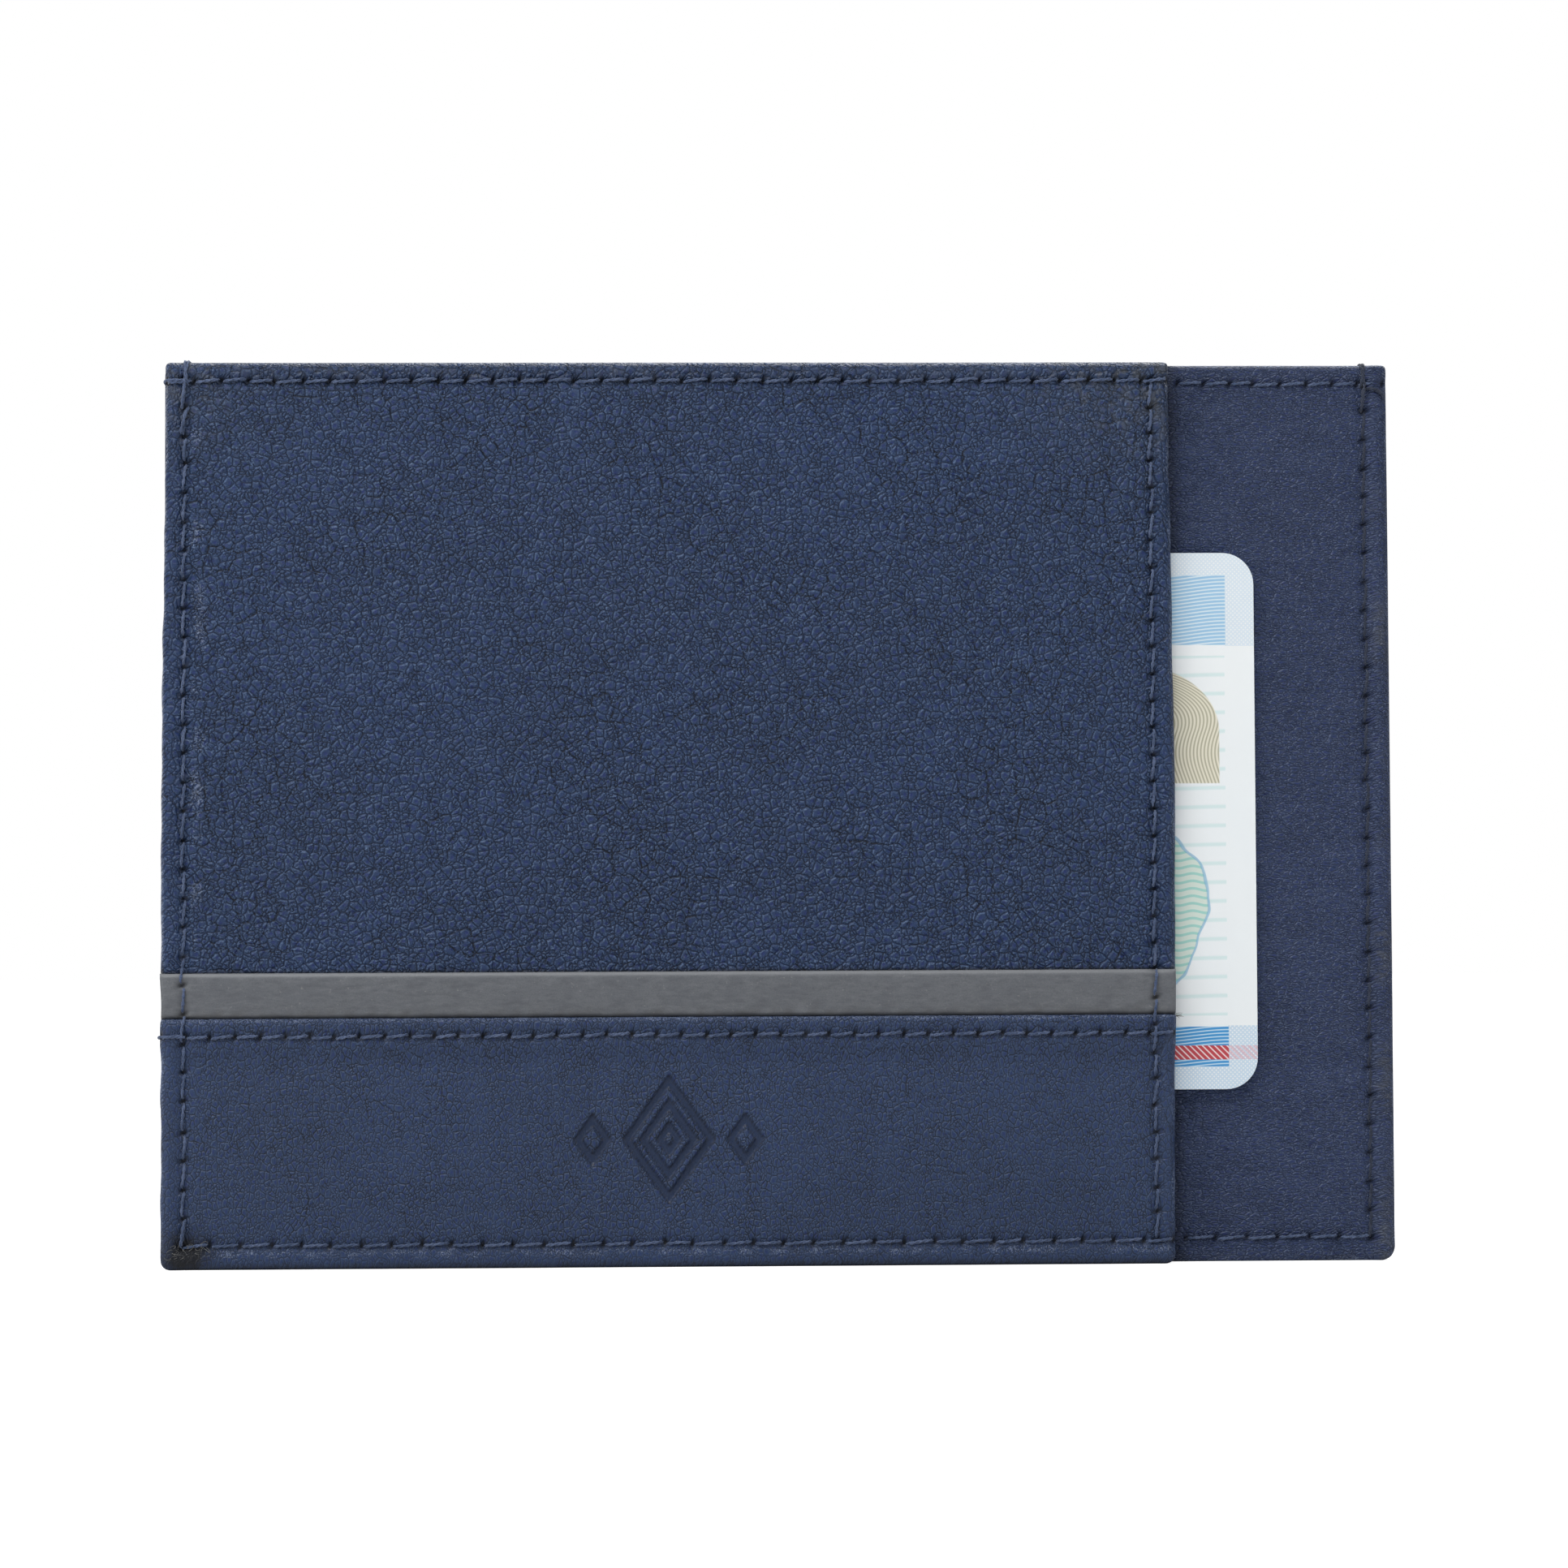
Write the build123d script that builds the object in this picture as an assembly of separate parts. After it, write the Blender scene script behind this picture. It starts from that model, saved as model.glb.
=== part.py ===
from build123d import *
import math
import os

# Leather card holder: a side-opening front pocket over a rear wall, and four stepped slots on the back.
# Frame: X is the width (the pocket mouth is towards +X), +Z is up, the front faces -Y.
# The origin is on the bottom edge, at the middle of the width and of the thickness.
# Lengths are millimetres. "Depth" is measured backwards from the front leather's outer face.

# ---- driving dimensions --------------------------------------------------------------------------------
WIDTH = 123.5
HEIGHT = 90.5
MOUTH_FROM_LEFT = 101.3  # the front pocket wall stops here and leaves the rear panel showing
OUTER_CORNER_RADIUS = 1.2
FRONT_CORNER_RADIUS = 0.6

CARD_LONG = 85.60  # ID-1 format card
CARD_SHORT = 53.98
CARD_THICKNESS = 0.76
CARD_CORNER_RADIUS = 3.18
CARD_STANDS_OUT = 8.3
CARD_CENTRE_HEIGHT = 44.3
CARD_TO_REAR_CLEARANCE = 0.2  # lets the card pass over the stitches behind it

FRONT_LEATHER = 0.9
REAR_LEATHER = 0.8
STRIPE_THICKNESS = 0.5
FRONT_BOARD = 0.5
REAR_BOARD = 0.6
POCKET_LINING = 0.2
POCKET_DEPTH = 1.1  # free room in the front pocket, front to back
BACK_STRIP = 0.6
BASE_LINING = 0.3
SLOT_STRIP = 0.6
SLOT_TAIL = 0.2
SLOT_ROOM = 0.82  # free room for a card in each back slot
SLOT_OUTER_PANEL = 0.8

HEM_WIDTH = 5.0  # leather turned in and sewn down along the outer edges
MOUTH_HEM_WIDTH = 8.0
MOUTH_HEM_DEPTH = 0.7
REAR_HEM_WIDTH = 8.0

BAND_TOP = 24.9
STRIPE_BOTTOM = 22.6
STRIPE_TOP = 29.4
UPPER_PANEL_BOTTOM = 26.0
LAP_SKIVED = 0.2  # what is left of the upper panel's lower edge after thinning
SKIVE_LENGTH = 2.6  # height over which that edge is thinned
LAP_EASE = 0.6  # the leather over the lap bends this far clear of the covered edge
LAP_SLACK = 0.1  # the stripe's face bends this much before its back
BAND_LIFT = 0.5  # how far the band's folded top edge stands proud of the front face
BAND_RISE_START = 1.8  # below the stripe's lower edge, where the band starts to rise over it
BAND_RISE_END = 0.2
STRIPE_INSET = 0.4

FIRST_SLOT_MOUTH = 8.5  # below the top edge
SLOT_STEP = 10.2
SLOT_COUNT = 4
SLOT_FLOOR_DEPTH = 48.0
SLOT_MOUTH_ROUND = 0.24
WALL_BELOW_MOUTH = 0.3  # the turned-in sides stop short of the rounded mouth
STRIP_LENGTH = 13.0
TAIL_OVERLAP = 7.0
TEXTILE_SIDE_GAP = 0.3
TAIL_FLANGE = 4.0
BASE_LINING_TOP = 71.0
BACK_STRIP_BOTTOM = 68.0

THREAD = 0.45
THREAD_PROUD = 0.12
THREAD_FLATTENED = 0.2
STITCH_DIP = 0.35  # length over which a stitch dives into its needle hole
STITCH_CLEARANCE = 0.02
TOP_SEAM_INSET = 1.9
BOTTOM_SEAM_INSET = 2.4
LEFT_SEAM_INSET = 2.3
RIGHT_SEAM_INSET = 2.45
MOUTH_SEAM_INSET = 2.2
BAND_SEAM_INSET = 1.8
SLOT_SEAM_INSET = 2.0
SEAM_CROSSING_GAP = 0.8
SEAM_END_GAP = 0.9  # the top and bottom seams stop this far from the side edges
SEAM_STEP_GAP = 0.3  # and leave this much free on each side of the pocket mouth
SEAM_STEP_MARGIN = 0.4  # a stitch this close to a step uses the thinner stack
STITCH_TOP = 2.7
STITCH_BOTTOM = 3.0
STITCH_SIDE = 2.9
STITCH_BAND = 2.45

EMBLEM_FROM_LEFT = 50.5
EMBLEM_HEIGHT = 12.7
EMBLEM_DEPTH = 0.15
EMBLEM_LINE = 0.8
EMBLEM_SIZES = (13.0, 8.4, 3.8)  # height of each nested lozenge
EMBLEM_SLENDERNESS = 0.72  # width over height
EMBLEM_SIDE_STEP = 7.6
EMBLEM_SIDE_HEIGHT = 5.4
SMALLEST_HOLLOW = 0.5  # a lozenge with less room than this inside its line is filled

CUT_OVERRUN = 1.0  # how far a cutting tool runs past the face it cuts
SAME_PLACE = 0.01

# ---- derived places ------------------------------------------------------------------------------------
LEFT = -WIDTH / 2
RIGHT = WIDTH / 2
MOUTH = LEFT + MOUTH_FROM_LEFT

FRONT_BOARD_BACK = FRONT_LEATHER + FRONT_BOARD
LINING_BACK = FRONT_BOARD_BACK + POCKET_LINING
REAR_FACE = LINING_BACK + POCKET_DEPTH
REAR_LEATHER_BACK = REAR_FACE + REAR_LEATHER
REAR_BOARD_BACK = REAR_LEATHER_BACK + REAR_BOARD
BASE_FACE = REAR_BOARD_BACK + BACK_STRIP
LINING_FACE = REAR_BOARD_BACK + BASE_LINING
SLOT_PITCH = SLOT_ROOM + SLOT_TAIL + SLOT_STRIP
BACK_FACE = BASE_FACE + (SLOT_COUNT - 1) * SLOT_PITCH + SLOT_ROOM + SLOT_OUTER_PANEL

FRONT_MOST = -(BAND_LIFT + THREAD_PROUD)
MID_DEPTH = (FRONT_MOST + BACK_FACE) / 2


def slot_mouth(number):
    return HEIGHT - FIRST_SLOT_MOUTH - (number - 1) * SLOT_STEP


def slot_floor(number):
    return slot_mouth(number) - SLOT_FLOOR_DEPTH


def strip_inner(number):
    """Depth of the inner face of a slot's leather strip; its tail lies against this face."""
    return BASE_FACE + number * (SLOT_ROOM + SLOT_TAIL) + (number - 1) * SLOT_STRIP


OUTER_PANEL_INNER = BACK_FACE - SLOT_OUTER_PANEL


# ---- building blocks -----------------------------------------------------------------------------------
def block(x, depth, z):
    """A box between (low, high) pairs along X, depth and Z."""
    size = [high - low for low, high in (x, depth, z)]
    centre = [(low + high) / 2 for low, high in (x, depth, z)]
    return Pos(centre[0], centre[1] - MID_DEPTH, centre[2]) * Box(*size)


def along_x(points, x_low, x_high):
    """A (depth, z) outline carried along X."""
    outline = Polyline(*[(depth - MID_DEPTH, z) for depth, z in points], close=True)
    face = Plane.YZ * make_face(outline)
    return Pos(x_low, 0, 0) * extrude(face, amount=x_high - x_low)


def rounded(part, corners, radius=OUTER_CORNER_RADIUS):
    """Round the edges along Y that stand at the given (x, z) corners."""
    chosen = []
    for edge in part.edges().filter_by(Axis.Y):
        place = edge.center()
        if any(abs(place.X - x) < SAME_PLACE and abs(place.Z - z) < SAME_PLACE for x, z in corners):
            chosen.append(edge)
    return fillet(chosen, radius)


def one_solid(part):
    return part.solids()[0]


# ---- front pocket wall ---------------------------------------------------------------------------------
def front_upper_panel():
    bottom = UPPER_PANEL_BOTTOM
    outline = [
        (0, HEIGHT),
        (0, bottom + SKIVE_LENGTH),
        (FRONT_LEATHER - LAP_SKIVED, bottom),
        (FRONT_LEATHER, bottom),
        (FRONT_LEATHER, HEIGHT),
    ]
    face = along_x(outline, LEFT, MOUTH)
    hem_depth = (FRONT_LEATHER, REAR_FACE)
    left_hem = block((LEFT, LEFT + HEM_WIDTH), hem_depth, (bottom, HEIGHT))
    top_hem = block((LEFT, MOUTH), hem_depth, (HEIGHT - HEM_WIDTH, HEIGHT))
    mouth_depth = (FRONT_LEATHER, FRONT_LEATHER + MOUTH_HEM_DEPTH)
    mouth_hem = block((MOUTH - MOUTH_HEM_WIDTH, MOUTH), mouth_depth, (bottom, HEIGHT))
    panel = face + left_hem + top_hem + mouth_hem
    return rounded(panel, [(LEFT, HEIGHT), (MOUTH, HEIGHT)], FRONT_CORNER_RADIUS)


def front_accent_stripe():
    bottom = UPPER_PANEL_BOTTOM
    back = FRONT_LEATHER
    front = back - STRIPE_THICKNESS
    outline = [
        (back, STRIPE_BOTTOM),
        (back, bottom - LAP_EASE),
        (back - LAP_SKIVED, bottom),
        (0, bottom + SKIVE_LENGTH),
        (0, STRIPE_TOP),
        (-STRIPE_THICKNESS, STRIPE_TOP),
        (-STRIPE_THICKNESS, bottom + SKIVE_LENGTH - LAP_SLACK),
        (front - LAP_SKIVED, bottom - LAP_SLACK),
        (front, bottom - LAP_EASE - LAP_SLACK),
        (front, STRIPE_BOTTOM),
    ]
    return along_x(outline, LEFT + STRIPE_INSET, MOUTH - STRIPE_INSET / 2)


def lozenge_line(height, x):
    """The groove of one lozenge, a flat ring between two nested diamonds."""
    width = height * EMBLEM_SLENDERNESS
    slant = math.hypot(width, height) / 2
    inset = EMBLEM_LINE * slant / (width / 2)
    rings = []
    for tall in (height, height - 2 * inset):
        wide = tall * EMBLEM_SLENDERNESS
        corners = [(x, tall / 2), (x + wide / 2, 0), (x, -tall / 2), (x - wide / 2, 0)]
        rings.append(make_face(Polyline(*corners, close=True)))
    outer, inner = rings
    return outer - inner if height > 2 * inset + SMALLEST_HOLLOW else outer


def emblem_cut():
    """Blind-stamped ornament: nested lozenges with a smaller one on each side."""
    sketch = [lozenge_line(height, 0) for height in EMBLEM_SIZES]
    sketch += [lozenge_line(EMBLEM_SIDE_HEIGHT, side * EMBLEM_SIDE_STEP) for side in (-1, 1)]
    centre = (LEFT + EMBLEM_FROM_LEFT, -MID_DEPTH - CUT_OVERRUN, EMBLEM_HEIGHT)
    front_plane = Plane(origin=centre, x_dir=(1, 0, 0), z_dir=(0, -1, 0))
    tools = []
    for face in sketch:
        tools.append(extrude(front_plane * face, amount=-(CUT_OVERRUN + EMBLEM_DEPTH)))
    return tools


def front_lower_band():
    rise_end = STRIPE_BOTTOM - BAND_RISE_END
    outline = [
        (0, 0),
        (0, STRIPE_BOTTOM - BAND_RISE_START),
        (-BAND_LIFT, rise_end),
        (-BAND_LIFT, BAND_TOP),
        (FRONT_LEATHER - STRIPE_THICKNESS, BAND_TOP),
        (FRONT_LEATHER - STRIPE_THICKNESS, STRIPE_BOTTOM),
        (FRONT_LEATHER, STRIPE_BOTTOM - LAP_EASE),
        (FRONT_LEATHER, 0),
    ]
    face = along_x(outline, LEFT, MOUTH)
    hem_depth = (FRONT_LEATHER, REAR_FACE)
    left_hem = block((LEFT, LEFT + HEM_WIDTH), hem_depth, (0, UPPER_PANEL_BOTTOM))
    bottom_hem = block((LEFT, MOUTH), hem_depth, (0, HEM_WIDTH))
    mouth_depth = (FRONT_LEATHER, FRONT_LEATHER + MOUTH_HEM_DEPTH)
    mouth_hem = block((MOUTH - MOUTH_HEM_WIDTH, MOUTH), mouth_depth, (0, UPPER_PANEL_BOTTOM))
    band = face + left_hem + bottom_hem + mouth_hem
    band = rounded(band, [(LEFT, 0), (MOUTH, 0)], FRONT_CORNER_RADIUS)
    for tool in emblem_cut():
        band -= tool
    return band


def inside_front_hems():
    x = (LEFT + HEM_WIDTH, MOUTH - MOUTH_HEM_WIDTH)
    z = (HEM_WIDTH, HEIGHT - HEM_WIDTH)
    return x, z


def front_stiffener():
    x, z = inside_front_hems()
    return block(x, (FRONT_LEATHER, FRONT_BOARD_BACK), z)


def front_pocket_lining():
    x, z = inside_front_hems()
    return block(x, (FRONT_BOARD_BACK, LINING_BACK), z)


# ---- rear wall -----------------------------------------------------------------------------------------
def outer_corners():
    return [(x, z) for x in (LEFT, RIGHT) for z in (0, HEIGHT)]


def rear_inner_panel():
    plate = block((LEFT, RIGHT), (REAR_FACE, REAR_BOARD_BACK), (0, HEIGHT))
    x = (LEFT + REAR_HEM_WIDTH, RIGHT - REAR_HEM_WIDTH)
    z = (REAR_HEM_WIDTH, HEIGHT - REAR_HEM_WIDTH)
    plate -= block(x, (REAR_LEATHER_BACK, REAR_BOARD_BACK + CUT_OVERRUN), z)
    return rounded(plate, outer_corners())


def rear_stiffener():
    x = (LEFT + REAR_HEM_WIDTH, RIGHT - REAR_HEM_WIDTH)
    z = (REAR_HEM_WIDTH, HEIGHT - REAR_HEM_WIDTH)
    return block(x, (REAR_LEATHER_BACK, REAR_BOARD_BACK), z)


def back_top_strip():
    outline = [
        (REAR_BOARD_BACK, HEIGHT),
        (REAR_BOARD_BACK, BASE_LINING_TOP),
        (LINING_FACE, BASE_LINING_TOP),
        (LINING_FACE, BACK_STRIP_BOTTOM),
        (BASE_FACE, BACK_STRIP_BOTTOM),
        (BASE_FACE, HEIGHT),
    ]
    strip = along_x(outline, LEFT, RIGHT)
    return rounded(strip, [(LEFT, HEIGHT), (RIGHT, HEIGHT)])


def between_side_walls():
    inset = HEM_WIDTH + TEXTILE_SIDE_GAP
    return LEFT + inset, RIGHT - inset


def back_base_lining():
    bottom = slot_floor(SLOT_COUNT) + TEXTILE_SIDE_GAP
    return block(between_side_walls(), (REAR_BOARD_BACK, LINING_FACE), (bottom, BASE_LINING_TOP))


# ---- card slots on the back ----------------------------------------------------------------------------
def wall_spans(number, bottom):
    """What a slot's turned-in sides rest on: (low z, high z, depth of the layer beneath)."""
    top = slot_mouth(number) - WALL_BELOW_MOUTH
    if number == 1:
        return [(bottom, top, BASE_FACE)]
    strip_beneath = slot_mouth(number - 1) - STRIP_LENGTH
    step = min(strip_beneath, BACK_STRIP_BOTTOM)
    spans = [(bottom, step, REAR_BOARD_BACK)]
    if strip_beneath > step:
        spans.append((step, strip_beneath, BASE_FACE))
    spans.append((strip_beneath, top, strip_inner(number - 1) + SLOT_STRIP))
    return spans


def with_side_walls(plate, number, inner, bottom):
    """Add the leather turned in along both sides, which closes the slot and gives the card its room."""
    for low, high, reached in wall_spans(number, bottom):
        for x in ((LEFT, LEFT + HEM_WIDTH), (RIGHT - HEM_WIDTH, RIGHT)):
            plate += block(x, (reached, inner), (low, high))
    return plate


def slot_strip(number):
    inner = strip_inner(number)
    mouth = slot_mouth(number)
    bottom = mouth - STRIP_LENGTH
    strip = block((LEFT, RIGHT), (inner, inner + SLOT_STRIP), (bottom, mouth))
    top_rim = strip.faces().sort_by(Axis.Z)[-1].edges().filter_by(Axis.X)
    strip = fillet(top_rim, SLOT_MOUTH_ROUND)
    return with_side_walls(strip, number, inner, bottom)


def slot_tail(number):
    """Textile tail: hangs from the strip, turns in at the slot's floor and is sewn to the base lining."""
    outer = strip_inner(number)
    inner = outer - SLOT_TAIL
    floor = slot_floor(number)
    top = slot_mouth(number) - STRIP_LENGTH + TAIL_OVERLAP
    outline = [
        (outer, top),
        (outer, floor - SLOT_TAIL),
        (LINING_FACE + SLOT_TAIL, floor - SLOT_TAIL),
        (LINING_FACE + SLOT_TAIL, floor - TAIL_FLANGE),
        (LINING_FACE, floor - TAIL_FLANGE),
        (LINING_FACE, floor),
        (inner, floor),
        (inner, top),
    ]
    return along_x(outline, *between_side_walls())


def slot_4_panel():
    """The outermost slot: one leather panel, turned in along its sides and along the bottom edge."""
    mouth = slot_mouth(SLOT_COUNT)
    panel = block((LEFT, RIGHT), (OUTER_PANEL_INNER, BACK_FACE), (0, mouth))
    panel = with_side_walls(panel, SLOT_COUNT, OUTER_PANEL_INNER, 0)
    floor = slot_floor(SLOT_COUNT)
    panel += block((LEFT, RIGHT), (REAR_BOARD_BACK, OUTER_PANEL_INNER), (0, floor))
    return rounded(panel, [(LEFT, 0), (RIGHT, 0)])


# ---- threads -------------------------------------------------------------------------------------------
def stitch_loop(start, end, front, back):
    """One lockstitch as a closed loop in (run, depth): a bar on each face and a leg in each needle hole.

    front and back give each face's depth at the start and at the end of the stitch."""
    start += STITCH_CLEARANCE
    end -= STITCH_CLEARANCE
    bar = THREAD_FLATTENED
    outer = [
        (start, front[0] + bar / 2),
        (start + STITCH_DIP, front[0] - THREAD_PROUD),
        (end - STITCH_DIP, front[1] - THREAD_PROUD),
        (end, front[1] + bar / 2),
        (end, back[1]),
        (start, back[0]),
    ]
    leg = THREAD / 2
    window = [
        (start + leg, front[0] + bar),
        (end - leg, front[1] + bar),
        (end - leg, back[1] - bar),
        (start + leg, back[0] - bar),
    ]
    return outer, window


def stitch(rings, along_width):
    """One stitch from its (run, depth) outline and window, as wide as the thread."""
    if along_width:
        plane = Plane(origin=(0, 0, -THREAD / 2), x_dir=(1, 0, 0), z_dir=(0, 0, 1))
        rings = [[(run, depth - MID_DEPTH) for run, depth in ring] for ring in rings]
    else:
        plane = Plane(origin=(-THREAD / 2, 0, 0), x_dir=(0, 1, 0), z_dir=(1, 0, 0))
        rings = [[(depth - MID_DEPTH, run) for run, depth in ring] for ring in rings]
    outline, window = [make_face(Polyline(*ring, close=True)) for ring in rings]
    return one_solid(extrude(plane * (outline - window), amount=THREAD))


def seam(low, high, pitch, front, back, along_width, place):
    """A row of equal lockstitches; front and back give the depth of each outer face along the run."""
    count = round((high - low) / pitch)
    step = (high - low) / count
    stitches = []
    for index in range(count):
        start = low + index * step
        end = start + step
        rings = stitch_loop(start, end, (front(start), front(end)), (back(start), back(end)))
        stitches.append(place * stitch(rings, along_width))
    return Compound(stitches)


def seam_along_x(run, z, pitch, front, back):
    """A row of lockstitches at a height; front and back are functions of x."""
    return seam(*run, pitch, front, back, True, Pos(0, 0, z))


def seam_along_z(run, x, pitch, front, back):
    """A row of lockstitches up a side; front and back are functions of z."""
    return seam(*run, pitch, front, back, False, Pos(x, 0, 0))


def front_depth(z):
    """Depth of the front pocket wall's outer face at a height: leather, stripe, lap, band."""
    stripe_bend = UPPER_PANEL_BOTTOM + SKIVE_LENGTH - LAP_SLACK
    if z >= STRIPE_TOP:
        return 0.0
    if z >= stripe_bend:
        return -STRIPE_THICKNESS
    if z >= BAND_TOP:
        low, high = FRONT_LEATHER - STRIPE_THICKNESS, -STRIPE_THICKNESS
        return low + (high - low) * (z - BAND_TOP) / (stripe_bend - BAND_TOP)
    if z >= STRIPE_BOTTOM - BAND_RISE_START:
        return -BAND_LIFT
    return 0.0


def back_depth(z):
    """Depth of the outermost back face at a height, stepping down slot by slot towards the top."""
    if z <= slot_mouth(SLOT_COUNT):
        return BACK_FACE
    for number in range(SLOT_COUNT - 1, 0, -1):
        if z <= slot_mouth(number):
            return strip_inner(number) + SLOT_STRIP
    return BASE_FACE


def thinner_stack(depth_of):
    """Use the thinner stack on either side of a step, so that a bar never hangs past a mouth."""
    return lambda z: min(depth_of(z - SEAM_STEP_MARGIN), depth_of(z + SEAM_STEP_MARGIN))


def constant(value):
    return lambda run: value


def edge_seam(z, pitch, back):
    """A seam along the top or bottom edge: one run on the pocket wall and one on the rear panel."""
    left_run = (LEFT + SEAM_END_GAP, MOUTH - SEAM_STEP_GAP)
    right_run = (MOUTH + SEAM_STEP_GAP, RIGHT - SEAM_END_GAP)
    on_wall = seam_along_x(left_run, z, pitch, constant(0), constant(back))
    on_rear = seam_along_x(right_run, z, pitch, constant(REAR_FACE), constant(back))
    return Compound(list(on_wall.solids()) + list(on_rear.solids()))


def top_seam_thread():
    return edge_seam(HEIGHT - TOP_SEAM_INSET, STITCH_TOP, BASE_FACE)


def bottom_seam_thread():
    return edge_seam(BOTTOM_SEAM_INSET, STITCH_BOTTOM, BACK_FACE)


def side_run():
    return BOTTOM_SEAM_INSET + SEAM_CROSSING_GAP, HEIGHT - TOP_SEAM_INSET - SEAM_CROSSING_GAP


def left_seam_thread():
    x = LEFT + LEFT_SEAM_INSET
    return seam_along_z(side_run(), x, STITCH_SIDE, front_depth, thinner_stack(back_depth))


def right_seam_thread():
    x = RIGHT - RIGHT_SEAM_INSET
    return seam_along_z(side_run(), x, STITCH_SIDE, constant(REAR_FACE), thinner_stack(back_depth))


def mouth_seam_thread():
    back = constant(FRONT_LEATHER + MOUTH_HEM_DEPTH)
    return seam_along_z(side_run(), MOUTH - MOUTH_SEAM_INSET, STITCH_TOP, front_depth, back)


def band_seam_thread():
    run = (LEFT + LEFT_SEAM_INSET + SEAM_CROSSING_GAP, MOUTH - MOUTH_SEAM_INSET - SEAM_CROSSING_GAP)
    z = BAND_TOP - BAND_SEAM_INSET
    return seam_along_x(run, z, STITCH_BAND, constant(-BAND_LIFT), constant(LINING_BACK))


def slot_mouth_thread(number):
    run = (LEFT + LEFT_SEAM_INSET + SEAM_CROSSING_GAP, RIGHT - RIGHT_SEAM_INSET - SEAM_CROSSING_GAP)
    z = slot_mouth(number) - SLOT_SEAM_INSET
    if number == SLOT_COUNT:
        inner, outer = OUTER_PANEL_INNER, BACK_FACE
    else:
        inner, outer = strip_inner(number), strip_inner(number) + SLOT_STRIP
    # The inner bars are pulled flush into the leather, so the card passes them freely.
    flush = constant(inner + THREAD_PROUD)
    return seam_along_x(run, z, STITCH_TOP, flush, constant(outer))


def slot_floor_thread(number):
    z = slot_floor(number) - TAIL_FLANGE / 2
    inner = constant(REAR_BOARD_BACK + THREAD_PROUD)
    outer = constant(LINING_FACE + SLOT_TAIL)
    return seam_along_x(between_side_walls(), z, STITCH_SIDE, inner, outer)


# ---- card ----------------------------------------------------------------------------------------------
def sample_card():
    right = MOUTH + CARD_STANDS_OUT
    back = REAR_FACE - CARD_TO_REAR_CLEARANCE
    half = CARD_SHORT / 2
    x = (right - CARD_LONG, right)
    z = (CARD_CENTRE_HEIGHT - half, CARD_CENTRE_HEIGHT + half)
    card = block(x, (back - CARD_THICKNESS, back), z)
    return rounded(card, [(a, b) for a in x for b in z], CARD_CORNER_RADIUS)


# ---- write one STEP per piece --------------------------------------------------------------------------
PIECES = {
    "front_upper_panel": front_upper_panel(),
    "front_accent_stripe": front_accent_stripe(),
    "front_lower_band": front_lower_band(),
    "front_stiffener": front_stiffener(),
    "front_pocket_lining": front_pocket_lining(),
    "rear_inner_panel": rear_inner_panel(),
    "rear_stiffener": rear_stiffener(),
    "back_top_strip": back_top_strip(),
    "back_base_lining": back_base_lining(),
    "slot_4_panel": slot_4_panel(),
    "top_seam_thread": top_seam_thread(),
    "bottom_seam_thread": bottom_seam_thread(),
    "left_seam_thread": left_seam_thread(),
    "right_seam_thread": right_seam_thread(),
    "mouth_seam_thread": mouth_seam_thread(),
    "band_seam_thread": band_seam_thread(),
    "sample_card": sample_card(),
}
for number in range(1, SLOT_COUNT + 1):
    PIECES[f"slot_{number}_mouth_thread"] = slot_mouth_thread(number)
for number in range(1, SLOT_COUNT):
    PIECES[f"slot_{number}_strip"] = slot_strip(number)
    PIECES[f"slot_{number}_tail"] = slot_tail(number)
    PIECES[f"slot_{number}_floor_thread"] = slot_floor_thread(number)

os.makedirs("parts", exist_ok=True)
for name, piece in PIECES.items():
    export_step(piece, f"parts/{name}.step")
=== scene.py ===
import math

import bmesh
import bpy
import numpy as np
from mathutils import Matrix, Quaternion, Vector


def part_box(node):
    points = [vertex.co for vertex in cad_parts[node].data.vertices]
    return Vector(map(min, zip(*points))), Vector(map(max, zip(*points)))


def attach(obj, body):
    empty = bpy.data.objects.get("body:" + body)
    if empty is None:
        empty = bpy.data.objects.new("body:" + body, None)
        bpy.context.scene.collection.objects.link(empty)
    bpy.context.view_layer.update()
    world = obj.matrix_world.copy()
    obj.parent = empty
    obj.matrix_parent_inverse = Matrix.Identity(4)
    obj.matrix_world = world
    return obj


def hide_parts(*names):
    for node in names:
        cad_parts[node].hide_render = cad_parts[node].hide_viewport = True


# The looks of a flat leather card holder: a side-opening front pocket, and stepped card slots on the back.
# Lengths below are millimetres, and meshes are made in metres. Y grows from the front to the back.
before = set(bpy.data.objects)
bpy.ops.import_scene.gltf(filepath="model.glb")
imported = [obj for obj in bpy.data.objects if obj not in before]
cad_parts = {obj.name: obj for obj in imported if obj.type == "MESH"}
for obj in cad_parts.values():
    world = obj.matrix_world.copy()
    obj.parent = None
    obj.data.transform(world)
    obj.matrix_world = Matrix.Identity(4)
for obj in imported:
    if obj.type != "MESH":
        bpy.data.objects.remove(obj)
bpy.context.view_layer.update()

MM = 0.001


# ---- places, read from the frame -------------------------------------------------------------------------
def span(node):
    """A node's extent along X, Y and Z."""
    low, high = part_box(node)
    return [(low[axis] / MM, high[axis] / MM) for axis in range(3)]


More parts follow.
